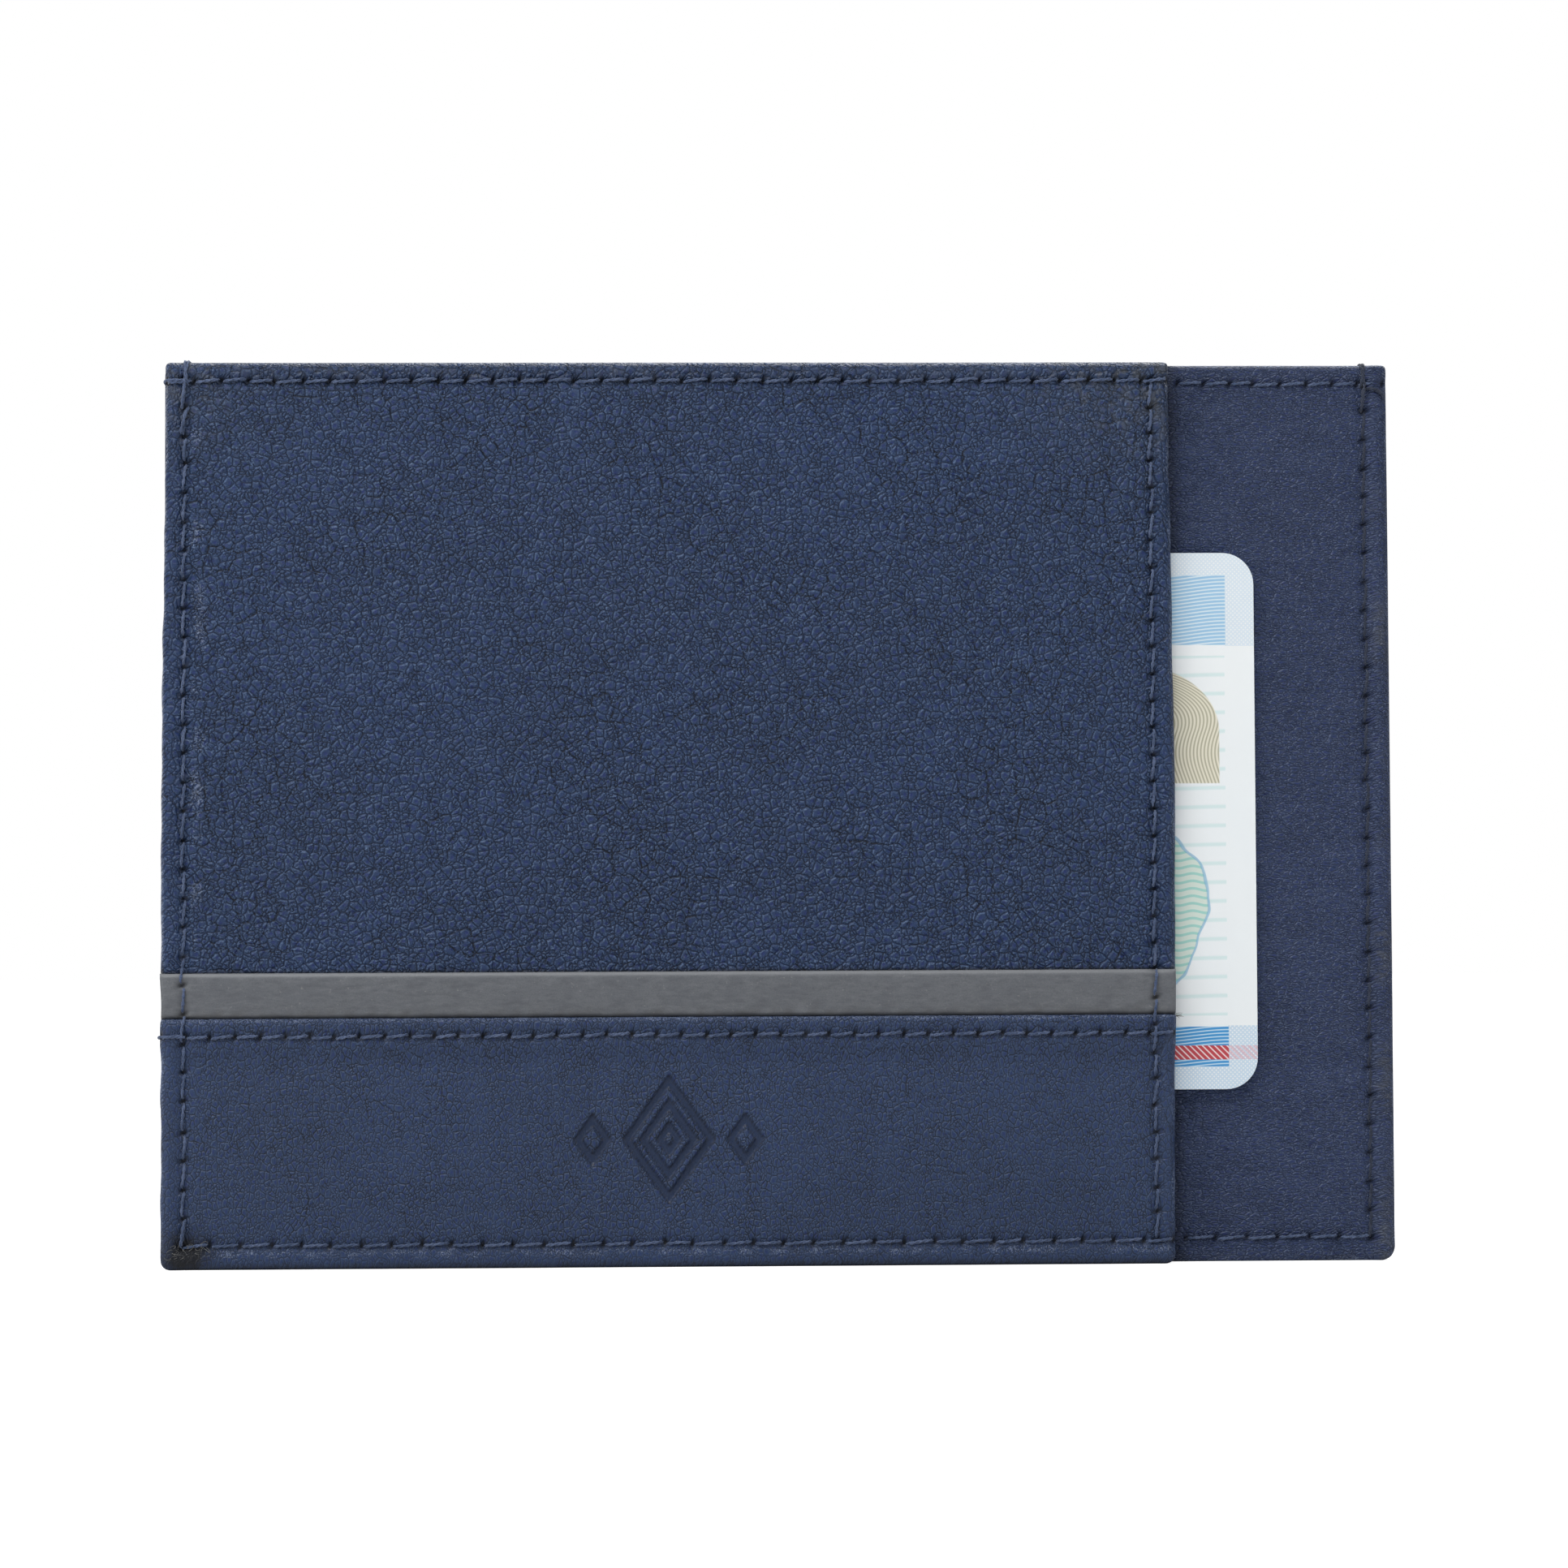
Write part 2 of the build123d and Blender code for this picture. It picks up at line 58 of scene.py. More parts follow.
(LEFT, RIGHT), (REAR_FACE, REAR_BACK), (FOOT, TOP) = span("rear_inner_panel")
(_, MOUTH), (FRONT_FACE, _), (UPPER_FOOT, _) = span("front_upper_panel")
STRIPE_FOOT, STRIPE_TOP = span("front_accent_stripe")[2]
BAND_FACE = span("front_lower_band")[1][0]
LEATHER_BACK = span("front_stiffener")[1][0]
MOUTH_HEM_BACK = span("front_pocket_lining")[1][1]
TOP_STRIP_FOOT, TOP_STRIP_BACK = span("back_top_strip")[2][0], span("back_top_strip")[1][1]
SLOTS = (1, 2, 3)  # the slots with a separate strip; slot 4 is the outer panel
ALL_SLOTS = (1, 2, 3, 4)
STRIP_BACK = {k: span(f"slot_{k}_strip")[1][1] for k in SLOTS}
STRIP_FOOT = {k: span(f"slot_{k}_strip")[2][0] for k in SLOTS}
SLOT_MOUTH = {k: span(f"slot_{k}_strip")[2][1] for k in SLOTS}
STRIP_BACK[4] = span("slot_4_panel")[1][1]
STRIP_FOOT[4], SLOT_MOUTH[4] = span("slot_4_panel")[2]
CARD = span("sample_card")


def middle(node, axis):
    low, high = span(node)[axis]
    return (low + high) / 2


TOP_SEAM = middle("top_seam_thread", 2)
BOTTOM_SEAM = middle("bottom_seam_thread", 2)
LEFT_SEAM = middle("left_seam_thread", 0)
RIGHT_SEAM = middle("right_seam_thread", 0)
MOUTH_SEAM = middle("mouth_seam_thread", 0)
BAND_SEAM = middle("band_seam_thread", 2)
BAND_TURN = 1.8  # from the band's seam up to its folded edge
BAND_TOP = BAND_SEAM + BAND_TURN
BAND_LAP = FRONT_FACE - BAND_FACE  # how far the band stands proud of the front wall
CENTRE = (LEFT + RIGHT) / 2

FRONT_HEM = 5.0
MOUTH_HEM = 8.0
STRIP_THICKNESS = 0.6
OUTER_THICKNESS = 0.8
CONTACT = 0.03  # left between layers that lie on one another
ORNAMENT_X, ORNAMENT_Z = LEFT + 50.5, 12.7


# ---- small numeric helpers -------------------------------------------------------------------------------
def ease(value, low, high):
    """0 below low, 1 above high, smooth between."""
    share = np.clip((value - low) / (high - low), 0, 1)
    return share * share * (3 - 2 * share)


def bell(value, width):
    return np.exp(-((value / width) ** 2))


def waves(x, z, size, seed):
    """Smooth, repeatable unevenness with features of about the given size, mostly between -1 and 1."""
    count = 11
    rng = np.random.default_rng(seed)
    total = np.zeros(np.broadcast(x, z).shape)
    for _ in range(count):
        angle = rng.uniform(0, 2 * math.pi)
        length = size * rng.uniform(0.7, 1.6)
        phase = rng.uniform(0, 2 * math.pi)
        total += np.sin((x * math.cos(angle) + z * math.sin(angle)) * 2 * math.pi / length + phase)
    return total / math.sqrt(count)


# ---- seams -----------------------------------------------------------------------------------------------
class Seam:
    """A row of needle holes along X or Z, with the small irregularities of a machine seam."""

    def __init__(self, along, low, high, place, pitch, seed):
        count = round((high - low) / pitch)
        rng = np.random.default_rng(seed)
        self.along = along
        self.place = place
        self.holes = np.linspace(low, high, count + 1)
        self.holes[1:-1] += rng.normal(0, 0.07, count - 1)
        self.sway = rng.normal(0, 0.05, count + 1)
        self.seed = seed

    def local(self, x, z):
        """Position along the seam, distance across it, and signed distance to the nearest needle hole."""
        run, across = (x, z) if self.along == "x" else (z, x)
        off = across - self.place - np.interp(run, self.holes, self.sway)
        index = np.clip(np.searchsorted(self.holes, run), 1, len(self.holes) - 1)
        before, after = run - self.holes[index - 1], run - self.holes[index]
        return run, off, np.where(np.abs(before) < np.abs(after), before, after)

    def reach(self, run):
        """1 along the seam, fading to 0 past its ends."""
        first, last = self.holes[0], self.holes[-1]
        return ease(run, first - 0.8, first) * (1 - ease(run, last, last + 0.8))

    def point(self, run, off):
        return (run, self.place + off) if self.along == "x" else (self.place + off, run)


MOUTH_PITCH, BAND_PITCH, SIDE_PITCH, FOOT_PITCH = 2.7, 2.45, 2.9, 3.0  # stitch lengths
SIDE_START, SIDE_END = FOOT + 2.2, TOP - 1.8
FRONT_SEAMS = {
    "top": Seam("x", LEFT + 0.5, MOUTH - 0.4, TOP_SEAM, MOUTH_PITCH, 1),
    "left": Seam("z", SIDE_START, TOP - 1.6, LEFT_SEAM, SIDE_PITCH, 2),
    "mouth": Seam("z", FOOT + 2.4, TOP - 1.9, MOUTH_SEAM, MOUTH_PITCH, 3),
    "bottom": Seam("x", LEFT + 2.0, MOUTH - 0.5, BOTTOM_SEAM, FOOT_PITCH, 4),
    "band": Seam("x", LEFT + 0.1, MOUTH - 0.3, BAND_SEAM, BAND_PITCH, 5),
}
REAR_SEAMS = {
    "top": Seam("x", MOUTH + 0.9, RIGHT - 0.4, TOP_SEAM, MOUTH_PITCH, 6),
    "right": Seam("z", SIDE_START, SIDE_END, RIGHT_SEAM, SIDE_PITCH, 7),
    "bottom": Seam("x", MOUTH + 1.0, RIGHT - 2.4, BOTTOM_SEAM, FOOT_PITCH, 8),
}
BACK_SEAMS = {
    "top": Seam("x", LEFT + 0.6, RIGHT - 0.6, TOP_SEAM, MOUTH_PITCH, 9),
    "left": Seam("z", SIDE_START, SIDE_END, LEFT_SEAM, SIDE_PITCH, 10),
    "right": Seam("z", SIDE_START, SIDE_END, RIGHT_SEAM, SIDE_PITCH, 11),
    "bottom": Seam("x", LEFT + 2.2, RIGHT - 2.2, BOTTOM_SEAM, FOOT_PITCH, 12),
}
SLOT_SEAMS = {}
for k in ALL_SLOTS:
    mouth_seam = middle(f"slot_{k}_mouth_thread", 2)
    SLOT_SEAMS[k] = Seam("x", LEFT_SEAM + 0.2, RIGHT_SEAM - 0.2, mouth_seam, MOUTH_PITCH, 20 + k)


FURROW_WIDTH, FURROW_DEPTH = 0.6, 0.18
SLIT_LENGTH, SLIT_WIDTH, SLIT_DEPTH = 0.38, 0.26, 0.4  # a needle hole, which slants across its seam
SLIT_SLANT = 0.6


def seam_press(x, z, seams):
    """How far a seam pulls the leather in, and how much painted shade its needle holes and furrow get."""
    depth = np.zeros(x.shape)
    painted_shade = np.zeros(x.shape)
    for seam in seams:
        run, off, gap = seam.local(x, z)
        inside = seam.reach(run)
        furrow = bell(off, FURROW_WIDTH)
        pull = 0.45 + 0.55 * bell(gap, 0.8)
        slit = bell(gap, SLIT_WIDTH) * bell(off - SLIT_SLANT * gap, SLIT_LENGTH)
        depth = np.maximum(depth, inside * (FURROW_DEPTH * furrow * pull + SLIT_DEPTH * slit))
        # Painted shade: near-black in the needle holes and faint along the furrow.
        painted_shade = np.maximum(painted_shade, inside * np.maximum(np.clip(1.2 * slit, 0, 1), 0.16 * bell(off, 0.4)))
    return depth, painted_shade


# ---- sheets: closed soft panels --------------------------------------------------------------------------
EDGE_STEPS = (0.03, 0.1, 0.2, 0.34, 0.52, 0.75, 1.05, 1.4)  # grid lines near an edge, for its roll


def grid_lines(low, high, spacing, marks=(), edge_steps=EDGE_STEPS):
    """Grid positions: close together at both ends and beside each mark, evenly spread between them."""
    beside = 0.2
    fixed = [low, high]
    fixed += [low + step for step in edge_steps] + [high - step for step in edge_steps]
    for mark in marks:
        if low + edge_steps[-1] < mark < high - edge_steps[-1]:
            fixed += [mark - beside, mark, mark + beside]
    fixed = sorted(fixed)
    kept = [fixed[0]]
    for place in fixed[1:]:
        if place - kept[-1] > 0.5 * edge_steps[0]:
            kept.append(place)
    lines = []
    for start, end in zip(kept[:-1], kept[1:]):
        pieces = max(1, math.ceil((end - start) / spacing - 0.01))
        lines += [start + (end - start) * i / pieces for i in range(pieces)]
    return np.array(lines + [kept[-1]])


def round_corners(x, z, radii):
    """Bend the corners of a grid onto arcs. radii: left-foot, right-foot, left-top, right-top."""
    left, right, foot, top = x.min(), x.max(), z.min(), z.max()
    places = [(left, foot, 1, 1), (right, foot, -1, 1), (left, top, 1, -1), (right, top, -1, -1)]
    new_x, new_z = x.copy(), z.copy()
    for radius, (edge_x, edge_z, inward_x, inward_z) in zip(radii, places):
        if not radius:
            continue
        u = 1 - (x - edge_x) * inward_x / radius
        v = 1 - (z - edge_z) * inward_z / radius
        inside = (u > 0) & (v > 0)
        round_u = u * np.sqrt(np.clip(1 - v * v / 2, 0, 1))
        round_v = v * np.sqrt(np.clip(1 - u * u / 2, 0, 1))
        new_x[inside] = (edge_x + inward_x * radius * (1 - round_u))[inside]
        new_z[inside] = (edge_z + inward_z * radius * (1 - round_v))[inside]
    return new_x, new_z


def border_loop(columns, rows):
    """Grid indices round the border, in order."""
    loop = [(i, 0) for i in range(columns)]
    loop += [(columns - 1, j) for j in range(1, rows)]
    loop += [(i, rows - 1) for i in range(columns - 2, -1, -1)]
    loop += [(0, j) for j in range(rows - 2, 0, -1)]
    return loop


def shrink(x, z, box, insets):
    """Move points inwards, each side by its own inset: left, right, foot, top."""
    left, right, foot, top = box
    in_left, in_right, in_foot, in_top = insets
    across = (x - left) / (right - left)
    up = (z - foot) / (top - foot)
    new_x = left + in_left + across * (right - left - in_left - in_right)
    new_z = foot + in_foot + up * (top - foot - in_foot - in_top)
    return new_x, new_z


class Sheet:
    """A closed panel: a fine grid for its outer face, a rim through rings of points, and a back."""

    def __init__(self, columns, rows, radii=(0, 0, 0, 0)):
        self.x, self.z = np.meshgrid(columns, rows, indexing="ij")
        self.box = (columns[0], columns[-1], rows[0], rows[-1])
        to_sides = (self.x - columns[0], columns[-1] - self.x, self.z - rows[0], rows[-1] - self.z)
        self.sides = np.stack(to_sides)
        self.edge = self.sides.min(axis=0)
        self.x, self.z = round_corners(self.x, self.z, radii)
        self.shape = self.x.shape
        self.loop = border_loop(*self.shape)
        self.rings = []
        self.marks = {}

    def roll(self, radius, drop, skip=()):
        """How far the rolled edge falls away from the face; sides in skip stay square."""
        sides = np.delete(self.sides, list(skip), axis=0)
        edge = sides.min(axis=0)
        share = np.clip(1 - edge / radius, 0, 1)
        return drop * (1 - np.sqrt(1 - share**2))

    def ring(self, insets, depth):
        """Add a ring behind the border; depth is a Y value or an array along the border."""
        if np.isscalar(insets):
            insets = (insets,) * 4
        x, z = shrink(self.border(self.x), self.border(self.z), self.box, insets)
        self.rings.append(np.stack([x, np.broadcast_to(depth, x.shape), z], axis=1))

    def border(self, values):
        border = np.array(self.loop)
        return values[border[:, 0], border[:, 1]]

    def side(self, start, end, steps):
        """Rings from one depth to another: each step is a share of the way and an inset."""
        for share, inset in steps:
            self.ring(inset, start + (end - start) * share)

    def raise_mark(self, mark, values):
        """Lift a mark to at least these values."""
        self.marks[mark] = np.maximum(self.marks[mark], values)

    def build(self, name, face, back=None, back_inset=0.0):
        """Make the mesh. face is Y over the grid; back is Y over the grid, or None for a flat cap."""
        count_x, count_z = self.shape
        grid = np.arange(count_x * count_z).reshape(self.shape)
        points = [np.stack([self.x, face, self.z], axis=2).reshape(-1, 3)]
        quads = [quads_of(grid)]
        rim = self.border(grid)
        offset = count_x * count_z
        for ring in self.rings:
            indices = np.arange(len(ring)) + offset
            quads.append(band_of(rim, indices))
            points.append(ring)
            rim = indices
            offset += len(ring)
        faces = [quad.tolist() for quad in np.concatenate(quads)]
        if back is None:
            faces.append(rim.tolist())
        else:
            far_x, far_z = shrink(self.x, self.z, self.box, (back_inset,) * 4)
            points.append(np.stack([far_x, back, far_z], axis=2).reshape(-1, 3))
            far = grid + offset
            faces += quads_of(far).tolist()
            faces += band_of(rim, self.border(far)).tolist()
        piece = new_mesh(name, np.concatenate(points), faces)
        for mark, values in self.marks.items():
            self.store(piece, mark, values)
        return piece

    def store(self, piece, mark, values):
        """Write a mark (wear and painted highlight, painted shade, soil and painted shade, smoothness) to
        the vertices; the rim takes its border's value.
        """
        flat = np.concatenate([values.reshape(-1)] + [self.border(values)] * len(self.rings))
        rest = len(piece.data.vertices) - len(flat)
        write_mark(piece, mark, np.concatenate([flat, np.zeros(rest)]))


def write_mark(piece, mark, values):
    layer = piece.data.attributes.new(mark, "FLOAT", "POINT")
    layer.data.foreach_set("value", values.astype(np.float32))


def quads_of(grid):
    corners = (grid[:-1, :-1], grid[1:, :-1], grid[1:, 1:], grid[:-1, 1:])
    return np.stack(corners, axis=2).reshape(-1, 4)


def band_of(first, second):
    return np.stack([first, np.roll(first, -1), np.roll(second, -1), second], axis=1)


def new_mesh(name, points, faces):
    mesh = bpy.data.meshes.new(name)
    mesh.from_pydata((np.asarray(points) * MM).tolist(), [], faces)
    work = bmesh.new()
    work.from_mesh(mesh)
    bmesh.ops.recalc_face_normals(work, faces=work.faces)
    work.to_mesh(mesh)
    work.free()
    mesh.shade_smooth()
    piece = bpy.data.objects.new(name, mesh)
    bpy.context.scene.collection.objects.link(piece)
    return piece


def finish_piece(piece, node, material):
    """Put a made piece in the place of a node of the holder."""
    piece.data.materials.append(material)
    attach(piece, "holder")
    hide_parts(node)


# ---- front wall ------------------------------------------------------------------------------------------
def mouth_sway(x, z):
    """The pocket mouth bows out a little over the card."""
    share = ease(x, MOUTH - 14, MOUTH)
    bow = 0.35 * np.sin(math.pi * np.clip(z / TOP, 0, 1)) ** 2 - 0.3
    return share * (bow + 0.04 * waves(z, z * 0, 7, 31))


def left_sway(x, z):
    share = 1 - ease(x, LEFT, LEFT + 5)
    lean = 0.42 * ease(z, 45, TOP)
    return share * (lean + 0.05 * waves(z, z * 0, 6, 32))


def sway_front(sheet):
    sheet.x = sheet.x + mouth_sway(sheet.x, sheet.z) + left_sway(sheet.x, sheet.z)


def front_slack(x, z):
    """Thin leather over board: barely domed, with faint dents."""
    across = (x - LEFT) / (MOUTH - LEFT) * 2 - 1
    up = (z - FOOT) / (TOP - FOOT) * 2 - 1
    dome = 0.22 * (1 - across**4) * (1 - up**4)
    return dome + 0.035 * waves(x, z, 30, 41) + 0.018 * waves(x, z, 8, 42) + 0.010 * waves(x, z, 2.6, 43)


def puff(distance, width, height):
    """The leather between a seam and the edge swells into a low roll."""
    share = np.clip(distance / width, 0, 1)
    return height * np.sin(math.pi * share**0.8) ** 1.5


def front_edges(x, z):
    """Swelling outside the perimeter seams of the front wall."""
    left = puff(x - LEFT, LEFT_SEAM - LEFT, 0.12)
    top = puff(TOP - z, TOP - TOP_SEAM, 0.12)
    foot = puff(z - FOOT, BOTTOM_SEAM - FOOT, 0.10)
    mouth = puff(MOUTH - x, MOUTH - MOUTH_SEAM, 0.06)
    return np.maximum.reduce([left, top, foot, mouth])


def hem_depth(sheet):
    """How deep the side of the front wall reaches, along the border."""
    x, z = sheet.border(sheet.x), sheet.border(sheet.z)
    thick = (x < MOUTH - 0.8) | (z > TOP - 0.5) | (z < FOOT + 0.5)
    return np.where(thick, REAR_FACE - 0.02, MOUTH_HEM_BACK)


def front_rim(sheet, face, hems):
    """The folded side of the front wall, then the hem, then the back of the leather."""
    end = hem_depth(sheet)
    steps = ((0.25, -0.02), (0.5, 0.0), (0.72, 0.06), (0.88, 0.16), (1.0, 0.36))
    sheet.side(sheet.border(face), end, steps)
    sheet.ring(hems, end)
    sheet.ring(tuple(inset + 0.02 for inset in hems), LEATHER_BACK)


def edge_marks(sheet, seams, rub=1.0):
    """Wear on the edges, and painted shade in the needle holes and seam furrows."""
    _, painted_shade = seam_press(sheet.x, sheet.z, seams)
    patchy = 0.65 + 0.35 * waves(sheet.x, sheet.z, 5, 51)
    sheet.marks["wear_and_highlight"] = 0.6 * rub * (1 - ease(sheet.edge, 0.1, 0.7)) * np.clip(patchy, 0, 1)
    sheet.marks["painted_shade"] = painted_shade
    sheet.marks["soil_and_shade"] = np.zeros(sheet.shape)


def hem_calm(x, z):
    """The grain is flatter where the leather is turned over, outside the seams."""
    left = 1 - ease(x, LEFT_SEAM - 0.5, LEFT_SEAM + 0.8)
    mouth = ease(x, MOUTH_SEAM - 0.6, MOUTH_SEAM + 0.6)
    top = ease(z, TOP_SEAM - 0.5, TOP_SEAM + 0.5)
    foot = 1 - ease(z, BOTTOM_SEAM - 0.5, BOTTOM_SEAM + 0.5)
    return 0.35 * np.maximum.reduce([left, mouth, top, foot])


def front_upper_panel():
    seams = [FRONT_SEAMS[name] for name in ("top", "left", "mouth")]
    columns = grid_lines(LEFT, MOUTH, 0.46, FRONT_SEAMS["top"].holes)
    rows = grid_lines(BAND_TOP - 0.15, TOP, 0.5, np.concatenate([seams[1].holes, seams[2].holes]))
    sheet = Sheet(columns, rows, (0, 0, 0.6, 0.6))
    sway_front(sheet)
    x, z = sheet.x, sheet.z
    press, _ = seam_press(x, z, seams)
    skive = 0.7 * (1 - ease(z, UPPER_FOOT, STRIPE_TOP))
    proud = front_slack(x, z) + front_edges(x, z) - press - skive
    face = FRONT_FACE - proud + sheet.roll(1.0, 0.9, skip=(2,))
    front_rim(sheet, face, (FRONT_HEM, MOUTH_HEM, 0.4, FRONT_HEM))
    edge_marks(sheet, seams)
    corner = bell(np.hypot(x - LEFT, z - TOP), 7) + 1.5 * bell(np.hypot(x - MOUTH, (z - TOP) * 1.6), 12)
    top_rub = 0.55 * bell(TOP - z, 2.2) * np.clip(0.5 + 0.6 * waves(x, z * 0, 16, 52), 0, 1)
    sheet.marks["soil_and_shade"] = np.clip(corner * (0.7 + 0.4 * waves(x, z, 2.5, 53)) + top_rub, 0, 1)
    # Painted shadow: a dark line just above the stripe's top edge, which lies over this panel.
    sheet.raise_mark("painted_shade", 0.9 * bell(z - STRIPE_TOP, 0.22))
    scuff = bell(x - LEFT_SEAM - 1.4, 0.9) * np.clip(0.25 + 0.8 * waves(x * 1.5, z, 7, 56), 0, 1)
    # Painted highlight: a whitish line along the top edge (the mark goes past 1 here).
    rim = 1.35 * bell(TOP - z, 0.16) * ease(x, LEFT + 1.5, LEFT + 4)
    sheet.raise_mark("wear_and_highlight", 0.55 * scuff)
    sheet.raise_mark("wear_and_highlight", rim * np.clip(0.8 + 0.3 * waves(x, z * 0, 5, 57), 0, 1))
    sheet.marks["smooth"] = hem_calm(x, z)
    return sheet.build("front_upper_leather", face)


def stripe_face(x, z):
    """Y of the stripe's face: a rolled top fold, a gentle slope, then a dip under the band."""
    dip = 0.7 * (1 - ease(z, BAND_TOP - 0.5, BAND_TOP + 0.35))
    slope = 0.30 * (1 - ease(z, BAND_TOP, STRIPE_TOP - 0.7))
    return FRONT_FACE - 0.5 + slope + dip - 0.8 * front_slack(x, z)


def stripe_wrinkles(x, z):
    """Short puckers where the band is sewn over the stripe's lower edge."""
    low = bell(z - BAND_TOP - 0.1, 0.75)
    return low * (0.035 * waves(x, z * 2.5, 2.2, 61) + 0.03 * np.abs(waves(x * 0.35, z * 2.4, 1.3, 62)))


def front_accent_stripe():
    seams = [FRONT_SEAMS["left"], FRONT_SEAMS["mouth"]]
    columns = grid_lines(LEFT + 0.03, MOUTH - 0.05, 0.3)
    rows = grid_lines(STRIPE_FOOT, STRIPE_TOP, 0.18, edge_steps=(0.03, 0.09, 0.17, 0.28, 0.42, 0.6))
    sheet = Sheet(columns, rows)
    sway_front(sheet)
    x, z = sheet.x, sheet.z
    press, painted_shade = seam_press(x, z, seams)
    face = stripe_face(x, z) + press + stripe_wrinkles(x, z)
    face = face + sheet.roll(0.55, 0.5, skip=(2,))
    sheet.ring(0.0, sheet.border(face) + 0.12)
    sheet.ring(0.12, sheet.border(face) + 0.25)
    # Painted highlight along the folded top edge; painted shade at the foot under the band's lip, and a
    # mottled band of it just above the band's fold.
    sheet.marks["wear_and_highlight"] = 0.9 * bell(z - STRIPE_TOP + 0.12, 0.22)
    sheet.marks["painted_shade"] = np.maximum(painted_shade, 0.85 * (1 - ease(z, BAND_TOP - 0.1, BAND_TOP + 0.55)))
    sheet.marks["soil_and_shade"] = np.clip(bell(z - BAND_TOP, 0.8) * (0.5 + 0.5 * waves(x, z, 1.6, 63)), 0, 1)
    back = face + 0.35 + 0.1 * ease(sheet.edge, 0, 0.5)
    return sheet.build("front_accent_leather", face, back, 0.15)


def lozenge_press(x, z):
    """Depth of the blind-stamped ornament: nested lozenges with a smaller one on each side."""
    line, slender = 0.8, 0.72
    pressed = np.zeros(x.shape)
    for tall, shift in ((13.0, 0), (8.4, 0), (3.8, 0), (5.4, -7.6), (5.4, 7.6)):
        half_z, half_x = tall / 2, tall * slender / 2
        inward = 1 - np.abs(x - ORNAMENT_X - shift) / half_x - np.abs(z - ORNAMENT_Z) / half_z
        inward = inward * half_x * half_z / math.hypot(half_x, half_z)
        groove = ease(inward, -0.1, 0.16) * (1 - ease(inward, line - 0.16, line + 0.1))
        pressed = np.maximum(pressed, groove)
    return pressed


def band_grid():
    """The band's grid: finer over the ornament, and beside the needle holes elsewhere."""
    ornament_columns = np.arange(LEFT + 40, LEFT + 61, 0.6)
    ornament_rows = np.arange(5.8, 19.8, 0.6)
    holes = np.concatenate([FRONT_SEAMS["bottom"].holes, FRONT_SEAMS["band"].holes])
    holes = holes[np.abs(holes - ORNAMENT_X) > 11]
    side_holes = FRONT_SEAMS["left"].holes[:8]
    columns = grid_lines(LEFT, MOUTH, 0.42, np.concatenate([ornament_columns, holes]))
    rows = grid_lines(FOOT, BAND_TOP, 0.3, np.concatenate([ornament_rows, side_holes[:2], side_holes[-2:]]))
    return columns, rows


def band_lap(z):
    """How far the band rises over the stripe's lower edge."""
    return BAND_LAP * ease(z, BAND_SEAM - 3.2, BAND_SEAM + 0.2)


def front_lower_band():
    seams = [FRONT_SEAMS[name] for name in ("bottom", "left", "mouth", "band")]
    sheet = Sheet(*band_grid(), (1.0, 1.0, 0, 0))
    sway_front(sheet)
    x, z = sheet.x, sheet.z
    press, _ = seam_press(x, z, seams)
    pressed = lozenge_press(x, z)
    proud = front_slack(x, z) + front_edges(x, z) + band_lap(z) - press - 0.32 * pressed
    face = FRONT_FACE - proud + sheet.roll(0.9, 0.85, skip=(3,))
    top_roll = np.clip(1 - sheet.sides[3] / 0.6, 0, 1)
    face = face + 0.75 * (1 - np.sqrt(1 - top_roll**2))
    front_rim(sheet, face, (FRONT_HEM, MOUTH_HEM, FRONT_HEM, 0.4))
    edge_marks(sheet, seams)
    sheet.marks["wear_and_highlight"] = sheet.marks["wear_and_highlight"] * ease(z, -1, 2.5)
    sheet.raise_mark("wear_and_highlight", 0.55 * bell(z - BAND_TOP + 0.12, 0.2))
    below_seam = bell(z - BOTTOM_SEAM + 0.8, 0.45) * np.clip(0.5 + 0.7 * waves(x, z, 2.2, 54), 0, 1)
    sheet.raise_mark("wear_and_highlight", 0.5 * below_seam)
    # Painted shade: in the ornament's grooves, darkest at their sides, and along the bottom edge; also a
    # dark patch round the frayed lower-left corner.
    frayed = bell(np.hypot(x - LEFT - 2.6, (z - 1.6) * 1.2) + 0.25 * waves(x, z, 1.6, 58), 2.2)
    groove_sides = 4 * pressed * (1 - pressed)
    lower_edge = 1 - ease(z, 0, 0.8)
    for shade in (0.3 * pressed, 0.75 * groove_sides, 0.6 * lower_edge, np.clip(1.5 * frayed, 0, 1)):
        sheet.raise_mark("painted_shade", shade)
    sheet.marks["smooth"] = np.maximum(pressed, hem_calm(x, z))
    return sheet.build("front_lower_leather", face)


# ---- rear wall -------------------------------------------------------------------------------------------
def rear_slack(x, z):
    """The part of the rear leather that shows beside the pocket is barely domed and a little uneven."""
    shown = ease(x, MOUTH + 1, MOUTH + 8)
    dome = 0.10 * shown * (1 - ((z - TOP / 2) / (TOP / 2)) ** 4)
    uneven = 0.025 * waves(x, z, 24, 71) + 0.015 * waves(x, z, 7, 72) + 0.01 * waves(x, z, 2.4, 73)
    return dome + shown * uneven


